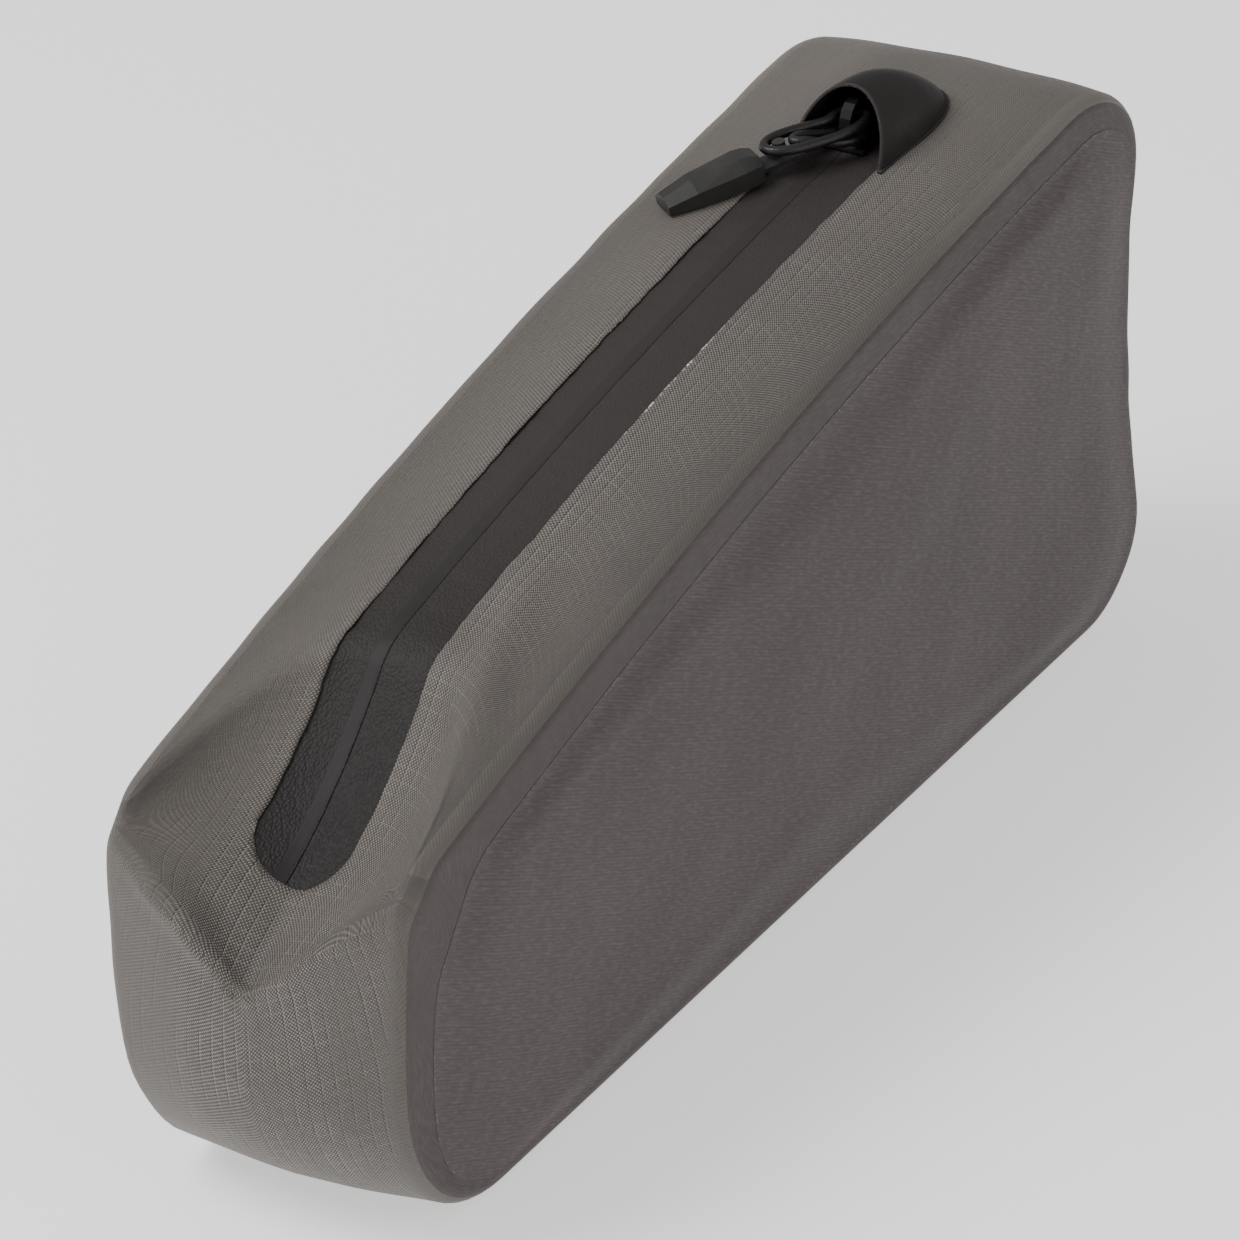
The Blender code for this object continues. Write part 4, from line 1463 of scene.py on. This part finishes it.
@dataclass
class Gusset(Piece):
    """The band of cloth round the bag, with its rims, flanges, slot and creases."""

    cloth: CoatedRipstop = field(default_factory=CoatedRipstop)
    edge: CutEdge = field(default_factory=CutEdge)
    backing: FlangeCloth = field(default_factory=FlangeCloth)
    hole: Slot = field(default_factory=Slot)
    backed: tuple[Span, ...] = ((-3.0, -1.6), (1.6, 3.0))
    creases: tuple[Crease, ...] = CREASES
    thickness: float = 0.0002
    band_columns: int = 60
    rim_columns: int = 7
    flange_turns: tuple[float, ...] = (0.10, 0.25, 0.5, 0.75, 1.0)
    fray: float = 0.00010
    fray_wave: float = 0.0022
    fray_seed: int = 9
    ripple: float = 0.00010
    ripple_wave: float = 0.016
    ripple_seed: int = 5
    calm_from: float = 2.6
    calm_width: float = 0.8
    still_below: float = 0.003
    top_above: float = 0.040
    slot_reach: float = 0.003
    follow: float = 0.45
    tail_lead: int = 10
    top_lead: int = 60

    def columns(self) -> Array:
        """The turns of the grid's columns."""
        band = np.linspace(-1.0, 1.0, self.band_columns + 1)
        rim = np.linspace(1.0, 2.0, self.rim_columns)[1:]
        edge = np.concatenate([rim, 2.0 + np.array(self.flange_turns)])
        return np.concatenate([-edge[::-1], band, edge])

    def surface(self, place: Array, turn: Array) -> Array:
        """The outer face with its creases and ripples.

        Args:
            place: Stations.
            turn: Turns across.

        Returns:
            One point a row, from the tail.
        """
        points = self.form.skin(place, turn)
        normals = self.form.normal(place, turn)
        lift = np.zeros(len(points))
        for crease in self.creases:
            lift += crease.rise(points)
        loose = np.clip((self.calm_from - np.abs(turn)) / self.calm_width, 0.0, 1.0)
        loose = loose * np.where(points[:, 2] < self.still_below, 0.0, 1.0)
        lift += self.ripple * loose * waves(points, self.ripple_wave, self.ripple_seed)
        return points + normals * lift[:, None]

    def build(self) -> bpy.types.Object:
        """Lay the cloth, cut the slot and thicken it.

        Returns:
            The piece.
        """
        rows = np.arange(self.form.count + 1, dtype=float)
        grid = ClothGrid(rows, self.columns(), self.backed)
        tail = self.form.corner_station("crease") - self.tail_lead
        fold = self.form.corner_station("crease") + self.form.arc_steps // 2
        top = self.form.corner_station("front_top") - self.top_lead
        mesh = grid.lay(self.surface, self.form.laid_flat, self.form.core(), (tail, top), (fold,))
        self._cut(mesh)
        return self._made_up(mesh, self.thickness, self.cloth, self.edge, self.backing)

    def _cut(self, mesh: bmesh.types.BMesh) -> None:
        """Cut the slot out of the top.

        Args:
            mesh: The laid cloth, from the tail.
        """
        spots = np.array([vert.co[:] for vert in mesh.verts])
        away = self.hole.distance(spots[:, 0], spots[:, 1])
        away = np.where(spots[:, 2] > self.top_above, away, 1.0)
        mesh.verts.index_update()
        gone = [face for face in mesh.faces if np.mean([away[vert.index] for vert in face.verts]) < 0]
        bmesh.ops.delete(mesh, geom=gone, context="FACES")
        rim = [vert for vert in mesh.verts if vert.is_boundary and self._near_slot(vert.co)]
        x = np.array([vert.co.x for vert in rim])
        y = np.array([vert.co.y for vert in rim])
        x, y = self.hole.edge_place(x, y)
        uneven = waves(np.stack([x, y, y * 0], axis=1), self.fray_wave, self.fray_seed)
        fray = 1 + self.fray * uneven / (self.hole.width / 2)
        middle = self.hole.middle(x)
        y = middle + (y - middle) * fray
        place = self.form.top_place(x, y)
        turn = self.form.top_turn(place, y)
        moved = self.surface(place, turn)
        pulls: dict[bmesh.types.BMVert, list[Vector]] = {}
        chosen = set(rim)
        for vert, spot in zip(rim, moved):
            shift = Vector(spot) - vert.co
            for edge in vert.link_edges:
                other = edge.other_vert(vert)
                if other not in chosen:
                    pulls.setdefault(other, []).append(shift)
            vert.co = spot
        for vert, shifts in pulls.items():
            vert.co += sum(shifts, Vector()) / len(shifts) * self.follow

    def _near_slot(self, spot: Vector) -> bool:
        """Whether a place is on the top near the slot's edge."""
        away = self.hole.distance(np.array([spot.x]), np.array([spot.y]))
        return spot.z > self.top_above and abs(float(away[0])) < self.slot_reach


@dataclass
class SidePanel(Piece):
    """A flat panel of coated cloth welded on to the flanges of one side."""

    side: float = -1.0
    cloth: PanelCloth = field(default_factory=PanelCloth)
    edge: CutEdge = field(default_factory=CutEdge)
    gap: float = 0.0003
    thickness: float = 0.0011
    bulge: float = 0.0020
    edge_round: float = 0.00002
    edge_stand: float = 0.00006
    edge_ramp: float = 0.0150
    slack: float = 0.00030
    slack_wave: float = 0.055
    slack_seed: int = 21
    slack_ramp: float = 0.02
    centre: Span = (0.55, 0.42)
    rings: tuple[float, ...] = (0.0, 0.00008, 0.0002, 0.00046, 0.0009, 0.0018, 0.0026, 0.0034, 0.0045)
    thread: SeamThread = field(default_factory=SeamThread)
    thread_rings: tuple[Span, ...] = ((2.0, 3.0),)
    inner_rings: int = 26

    def middle(self) -> Array:
        """The panel's middle, from the tail."""
        return np.array([self.centre[0] * self.form.length, self.centre[1] * self.form.front_height])

    def _share(self, place: Array, ring: Array) -> Array:
        """How far rings lie between the middle, 0, and the edge, 1.

        Args:
            place: Stations.
            ring: Rings, counted from the edge.

        Returns:
            The shares.
        """
        edge = self.form.pick(self.form.panel, place)
        reach = np.linalg.norm(edge - self.middle(), axis=1)
        outer = len(self.rings) - 1
        index = np.minimum(ring, outer).astype(int)
        near = 1 - np.array(self.rings)[index] / reach
        last = 1 - self.rings[-1] / reach
        inward = np.clip((ring - outer) / self.inner_rings, 0.0, 1.0)
        return np.where(ring <= outer, near, last * (1 - inward))

    def surface(self, place: Array, ring: Array) -> Array:
        """The panel's outer face.

        Args:
            place: Stations.
            ring: Rings, counted from the edge.

        Returns:
            One point a row, from the tail.
        """
        edge = self.form.pick(self.form.panel, place)
        share = self._share(place, ring)
        spot = self.middle() + (edge - self.middle()) * share[:, None]
        reach = np.linalg.norm(edge - self.middle(), axis=1)
        inset = (1 - share) * reach
        full = self.gap + self.thickness
        stand = self.edge_stand + (full - self.edge_stand) * ease(inset / self.edge_ramp)
        stand = stand + self.bulge * (1 - share**2) ** 2
        worn = np.clip(1 - inset / self.edge_round, 0.0, 1.0)
        stand = stand - self.edge_round * (1 - np.sqrt(1 - worn**2))
        points = np.stack([spot[:, 0], np.zeros(len(spot)), spot[:, 1]], axis=1)
        loose = np.clip(inset / self.slack_ramp, 0.0, 1.0)
        stand = stand + self.slack * loose * waves(points, self.slack_wave, self.slack_seed)
        points[:, 1] = self.side * (self.form.half_width(spot) + stand)
        return points

    def flat(self, place: Array, ring: Array) -> Array:
        """Where the panel's points lie when it is flat."""
        return self.surface(place, ring)[:, [0, 2]]

    def build(self) -> bpy.types.Object:
        """Lay the panel and thicken it.

        Returns:
            The piece.
        """
        rows = np.arange(self.form.count + 1, dtype=float)
        columns = np.arange(len(self.rings) + self.inner_rings, dtype=float)
        grid = ClothGrid(rows, columns, self.thread_rings)
        mesh = grid.lay(self.surface, self.flat, self.form.core())
        wall = self.edge_stand - self.edge_round
        return self._made_up(mesh, wall, self.cloth, self.edge, self.thread)


@dataclass
class ZipTape(Piece):
    """Half of the zip's tape, seen through the slot. The far half covers the coil."""

    side: float = 1.0
    film: ZipFilm = field(default_factory=ZipFilm)
    hole: Slot = field(default_factory=Slot)
    width: float = 0.0105
    thickness: float = 0.0010
    tail_overrun: float = 0.0020
    front_overrun: float = 0.0060
    depth: float = 0.00032
    seam: float = 0.00006
    coil_rise: float = 0.00006
    coil_slopes: Span = (0.0005, 0.0007)
    ripple: float = 0.00004
    ripple_wave: float = 0.005
    ripple_seed: int = 31
    row_count: int = 420
    coil_columns: int = 17
    outer_columns: int = 10
    coil_share: float = 0.34

    def _across(self, column: Array) -> Array:
        """How far columns are from the zip's middle line."""
        return self.seam + (self.width - self.seam) * column

    def surface(self, place: Array, column: Array) -> Array:
        """The tape's upper face.

        Args:
            place: Stations.
            column: Columns, from 0 at the zip's middle to 1.

        Returns:
            One point a row, from the tail.
        """
        middle = self.hole.middle(self.form.skin(place, place * 0)[:, 0])
        away = self._across(column)
        y = middle + self.side * away
        turn = self.form.top_turn(place, y)
        depth = np.full(len(place), self.depth)
        if self.side > 0:
            up, down = self.coil_slopes
            rise = ease((away - self.film.coil_from) / up)
            fall = ease((self.film.coil_to + self.film.coil_edge - away) / down)
            depth = depth - self.coil_rise * rise * fall
        points = self.form.skin(place, turn)
        depth = depth - self.ripple * waves(points, self.ripple_wave, self.ripple_seed)
        return points - self.form.normal(place, turn) * depth[:, None]

    def flat(self, place: Array, column: Array) -> Array:
        """Where the tape's points lie when it is flat."""
        along = self.form.laid_flat(place, place * 0)[:, 0]
        return np.stack([along, self.side * self._across(column)], axis=1)

    def build(self) -> bpy.types.Object:
        """Lay the tape and thicken it.

        Returns:
            The piece.
        """
        ends = np.array([self.hole.tail - self.tail_overrun, self.hole.front + self.front_overrun])
        start, end = self.form.top_place(ends, np.zeros(2))
        rows = np.linspace(start, end, self.row_count)
        over_coil = np.linspace(0, self.coil_share, self.coil_columns)
        beyond = np.linspace(self.coil_share, 1.0, self.outer_columns)[1:]
        columns = np.concatenate([over_coil, beyond])
        mesh = ClothGrid(rows, columns).lay(self.surface, self.flat, self.form.core())
        return self._made_up(mesh, self.thickness, self.film)


@dataclass
class ZipHood(Piece):
    """The rubbery half dome that the slider parks under, on its thin weld flange."""

    rubber: SoftRubber = field(default_factory=SoftRubber)
    edge: CutEdge = field(
        default_factory=lambda: CutEdge("hood_edge", (0.026, 0.022, 0.022), (0.060, 0.052, 0.050))
    )
    mouth: float = 0.1830
    length: float = 0.0272
    width: float = 0.0168
    height: float = 0.0106
    rake: float = 0.66
    offset: float = 0.0001
    drift: float = -0.0024
    flange: float = 0.0005
    thickness: float = 0.0005
    foot_gap: float = 0.00005
    core_height: float = 0.09
    blunt: float = 5.0
    fullness: float = 0.66
    turned_from: float = 0.80
    row_count: int = 44
    row_ease: float = 1.7
    tip: float = 0.9995
    dome_columns: int = 41
    flange_angles: tuple[float, ...] = (0.1, 0.4, 0.8, 1.0)

    def surface(self, along: Array, angle: Array) -> Array:
        """The hood's outer face.

        Args:
            along: Shares of the length, from the mouth.
            angle: Angles over the dome, which run past 0 and pi on to the flange.

        Returns:
            One point a row, from the tail.
        """
        bent = np.clip(angle, 0.0, math.pi)
        past = np.maximum(np.maximum(-angle, angle - math.pi), 0.0)
        side = np.where(angle < math.pi / 2, 1.0, -1.0)
        half = self.width / 2 * np.sqrt(np.maximum(1 - along**self.blunt, 0.0))
        high = self.height * np.maximum(1 - along**2, 0.0) ** self.fullness
        up = high * np.sin(bent)
        y = self.offset + self.drift * along + half * np.cos(bent) + side * past * self.flange
        x = self.mouth + along * self.length + self.rake * up * (1 - along)
        turned = np.clip((along - self.turned_from) / (1 - self.turned_from), 0.0, 1.0)
        x = x + past * self.flange * turned
        place = self.form.top_place(x, np.clip(y, -0.02, 0.02))
        turn = self.form.top_turn(place, y)
        base = self.form.skin(place, turn)[:, 2]
        foot = self.thickness + self.foot_gap
        return np.stack([x, y, base + np.maximum(up, foot)], axis=1)

    def flat(self, along: Array, angle: Array) -> Array:
        """Where the hood's points lie when it is flat."""
        return np.stack([along * self.length, angle * self.width / 2], axis=1)

    def build(self) -> bpy.types.Object:
        """Shape the dome and its flange.

        Returns:
            The piece.
        """
        alongs = 1 - (1 - np.linspace(0, 1, self.row_count)) ** self.row_ease
        alongs = np.minimum(alongs, self.tip)
        dome = np.linspace(0, math.pi, self.dome_columns)
        flange = np.array(self.flange_angles)
        angles = np.concatenate([-flange[::-1], dome, math.pi + flange])
        inside = Vector((self.mouth + self.length / 2, 0, self.core_height))
        mesh = ClothGrid(alongs, angles).lay(self.surface, self.flat, inside)
        return self._made_up(mesh, self.thickness, self.rubber, self.edge)


@dataclass
class PullCord(Piece):
    """A cord loop on the slider's bridge: a bight with both its ends under the bridge."""

    route: tuple[tuple[float, float, float], ...] = ()
    smoothing: int = 12
    diameter: float = 0.0017
    sheath: CordSheath = field(default_factory=CordSheath)
    carries: tuple[bpy.types.Object, ...] = ()

    def _line(self, steps: int = 8) -> list[Vector]:
        """Fine points on a smooth curve through the route.

        Args:
            steps: How many points there are between two of the route's.

        Returns:
            The points.
        """
        nodes = [Vector(spot) for spot in self.route]
        padded = [nodes[0] * 2 - nodes[1], *nodes, nodes[-1] * 2 - nodes[-2]]
        fine: list[Vector] = []
        for first, second, third, fourth in zip(padded, padded[1:], padded[2:], padded[3:]):
            for step in range(steps):
                t = step / steps
                lean = (third - first) * t
                curl = (first * 2 - second * 5 + third * 4 - fourth) * t**2
                twist = (second * 3 - first - third * 3 + fourth) * t**3
                fine.append((second * 2 + lean + curl + twist) * 0.5)
        fine.append(nodes[-1])
        for _ in range(self.smoothing):
            inner = [(a + b * 2 + c) / 4 for a, b, c in zip(fine, fine[1:], fine[2:])]
            fine = [fine[0], *inner, fine[-1]]
        return fine

    def build(self) -> bpy.types.Object:
        """Make the loop as a round curve.

        Returns:
            The piece.
        """
        curve = bpy.data.curves.new(self.name, "CURVE")
        curve.dimensions = "3D"
        curve.bevel_depth = self.diameter / 2
        curve.bevel_resolution = 6
        curve.use_fill_caps = True
        points = self._line()
        line = curve.splines.new("POLY")
        line.points.add(len(points) - 1)
        for control, point in zip(line.points, points):
            control.co = (*point, 1.0)
        line.use_smooth = True
        curve.materials.append(self.sheath.material())
        piece = bpy.data.objects.new(self.name, curve)
        bpy.context.collection.objects.link(piece)
        return piece

    def place(self) -> bpy.types.Object:
        """Build the loop and tie it.

        Returns:
            The piece.
        """
        piece = super().place()
        line = self._line()
        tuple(self.route[0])
        sum((after - before).length for before, after in zip(line, line[1:]))
        list(self.carries)
        return piece


OUTER_ROUTE = (
    (0.07120, 0.00091, 0.10723),
    (0.07120, 0.00249, 0.10723),
    (0.06987, 0.00350, 0.10709),
    (0.06706, 0.00376, 0.10670),
    (0.06345, 0.00705, 0.10626),
    (0.05975, 0.00939, 0.10600),
    (0.05639, 0.00972, 0.10581),
    (0.05484, 0.00758, 0.10581),
    (0.05619, 0.00449, 0.10600),
    (0.05956, 0.00170, 0.10626),
    (0.06479, -0.00143, 0.10670),
    (0.06962, -0.00230, 0.10709),
    (0.07120, -0.00129, 0.10723),
    (0.07120, 0.00028, 0.10723),
)
INNER_ROUTE = (
    (0.07120, 0.00098, 0.10494),
    (0.07120, 0.00233, 0.10494),
    (0.06996, 0.00312, 0.10486),
    (0.06743, 0.00289, 0.10462),
    (0.06469, 0.00424, 0.10524),
    (0.06186, 0.00575, 0.10604),
    (0.06002, 0.00615, 0.10604),
    (0.05935, 0.00524, 0.10604),
    (0.06031, 0.00361, 0.10604),
    (0.06265, 0.00136, 0.10524),
    (0.06594, -0.00166, 0.10462),
    (0.06978, -0.00192, 0.10486),
    (0.07120, -0.00113, 0.10494),
    (0.07120, 0.00022, 0.10494),
)


# Studio


@dataclass(frozen=True)
class Lamp:
    """One large soft lamp."""

    name: str
    spot: tuple[float, float, float]
    target: tuple[float, float, float]
    size: float
    power: float

    def add(self) -> bpy.types.Object:
        """Add the lamp to the scene.

        Returns:
            The lamp.
        """
        data = bpy.data.lights.new(self.name, "AREA")
        data.energy = self.power
        data.shape = "DISK"
        data.size = self.size
        lamp = bpy.data.objects.new(self.name, data)
        lamp.location = self.spot
        heading = Vector(self.target) - Vector(self.spot)
        lamp.rotation_euler = heading.to_track_quat("-Z", "Y").to_euler()
        bpy.context.collection.objects.link(lamp)
        return lamp


@dataclass
class Studio:
    """The pale floor, the soft light and the camera."""

    camera_spot: tuple[float, float, float] = (-1.0435649671, -0.6384551568, 0.7127163929)
    camera_axes: tuple[tuple[float, float, float], ...] = (
        (0.5060344754, -0.8615377898, -0.0410091010),
        (0.4300420930, 0.2108046576, 0.8778526041),
        (-0.7476582829, -0.4618593217, 0.4771719387),
    )
    lens: float = 253.19
    world_strength: float = 0.44
    floor_colour: Colour = (0.92, 0.92, 0.92)
    floor_glow: float = 0.72
    lamps: tuple[Lamp, ...] = (
        Lamp("top_softbox", (-0.40, 0.45, 0.85), (0.0, 0.0, 0.05), 0.60, 7.5),
        Lamp("side_softbox", (-0.35, -1.00, 0.50), (0.0, 0.0, 0.05), 0.80, 2.3),
        Lamp("tail_softbox", (-1.05, 0.20, 0.45), (0.0, 0.0, 0.05), 0.60, 0.3),
    )

    def camera(self) -> bpy.types.Object:
        """Add the camera and make it the scene's own.

        Returns:
            The camera.
        """
        data = bpy.data.cameras.new("studio_camera")
        data.sensor_fit = "HORIZONTAL"
        data.sensor_width = 36.0
        data.lens = self.lens
        data.clip_start = 0.05
        data.clip_end = 30.0
        camera = bpy.data.objects.new("studio_camera", data)
        turn = Matrix(self.camera_axes).transposed().to_4x4()
        camera.matrix_world = Matrix.Translation(self.camera_spot) @ turn
        bpy.context.collection.objects.link(camera)
        bpy.context.scene.camera = camera
        return camera

    def floor(self) -> bpy.types.Object:
        """Add the pale floor.

        Returns:
            The floor.
        """
        mesh = bmesh.new()
        bmesh.ops.create_grid(mesh, x_segments=2, y_segments=2, size=6.0)
        graph = Graph("pale_floor")
        uneven = graph.noise(graph.object_place(), Grain(3.0))
        darker = tuple(part * 0.98 for part in self.floor_colour)
        colour = graph.mix(uneven * 0.2, self.floor_colour, darker)
        sockets = {
            "Base Color": colour,
            "Roughness": 0.9,
            "Emission Color": (1.0, 1.0, 1.0, 1.0),
            "Emission Strength": self.floor_glow,
        }
        floor = shown("studio_floor", mesh, graph.finish(sockets))
        return floor

    def light(self) -> None:
        """Add the lamps and the even light round them."""
        world = bpy.data.worlds.new("studio_light")
        world.use_nodes = True
        backdrop = world.node_tree.nodes["Background"]
        backdrop.inputs["Color"].default_value = (1.0, 1.0, 1.0, 1.0)
        backdrop.inputs["Strength"].default_value = self.world_strength
        bpy.context.scene.world = world
        for lamp in self.lamps:
            lamp.add()


@dataclass
class TopTubeBag:
    """The whole bag, piece by piece."""

    frame: dict[str, object]
    form: BagForm = field(default_factory=BagForm)

    def cords(self) -> None:
        """Add the two cord loops, with the tab on the outer one."""
        tab = self.frame["nodes"]["pull_tab"]
        for loop, route, carries in (("outer", OUTER_ROUTE, (tab,)), ("inner", INNER_ROUTE, ())):
            name = f"pull_cord_{loop}"
            cord = PullCord(self.form, f"{name}_loop", (name,), "cord_black", route, carries=carries)
            cord.place()

    def soft_pieces(self) -> None:
        """Add the cloth, the panels, the zip's tape and the hood."""
        Gusset(self.form, "gusset_cloth_band", ("gusset_shell",), "gusset_cloth").place()
        sides = {"near": -1.0, "far": 1.0}
        for name, side in sides.items():
            SidePanel(self.form, f"panel_{name}", (f"side_panel_{name}",), "panel_cloth", side).place()
        for name, side in sides.items():
            ZipTape(self.form, f"tape_{name}", (f"zip_tape_{name}",), "zip_film", side).place()
        ZipHood(self.form, "zip_hood", ("zip_garage_hood",), "hood_rubber").place()

    def hard_pieces(self) -> None:
        """Finish the solids whose shape is already right."""
        finishes = {
            "pull_tab": SoftRubber("tab_moulding", (0.024, 0.023, 0.022), (0.042, 0.040, 0.038), 0.46),
            "zip_slider": BlackPaint(),
            "base_patch": SoftRubber("patch_rubber"),
        }
        for node, finish in finishes.items():
            piece = self.frame["nodes"][node]
            material = finish.material()
            for slot in piece.material_slots:
                slot.material = material
            LOG.info("%s: solid kept", node)


def main() -> None:
    """Build the scene."""
    logging.basicConfig(level=logging.INFO, format="%(name)s %(message)s")
    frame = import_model()
    studio = Studio()
    studio.camera()
    bag = TopTubeBag(frame)
    bag.cords()
    bag.soft_pieces()
    bag.hard_pieces()
    studio.floor()
    studio.light()


if __name__ == "__main__":
    main()
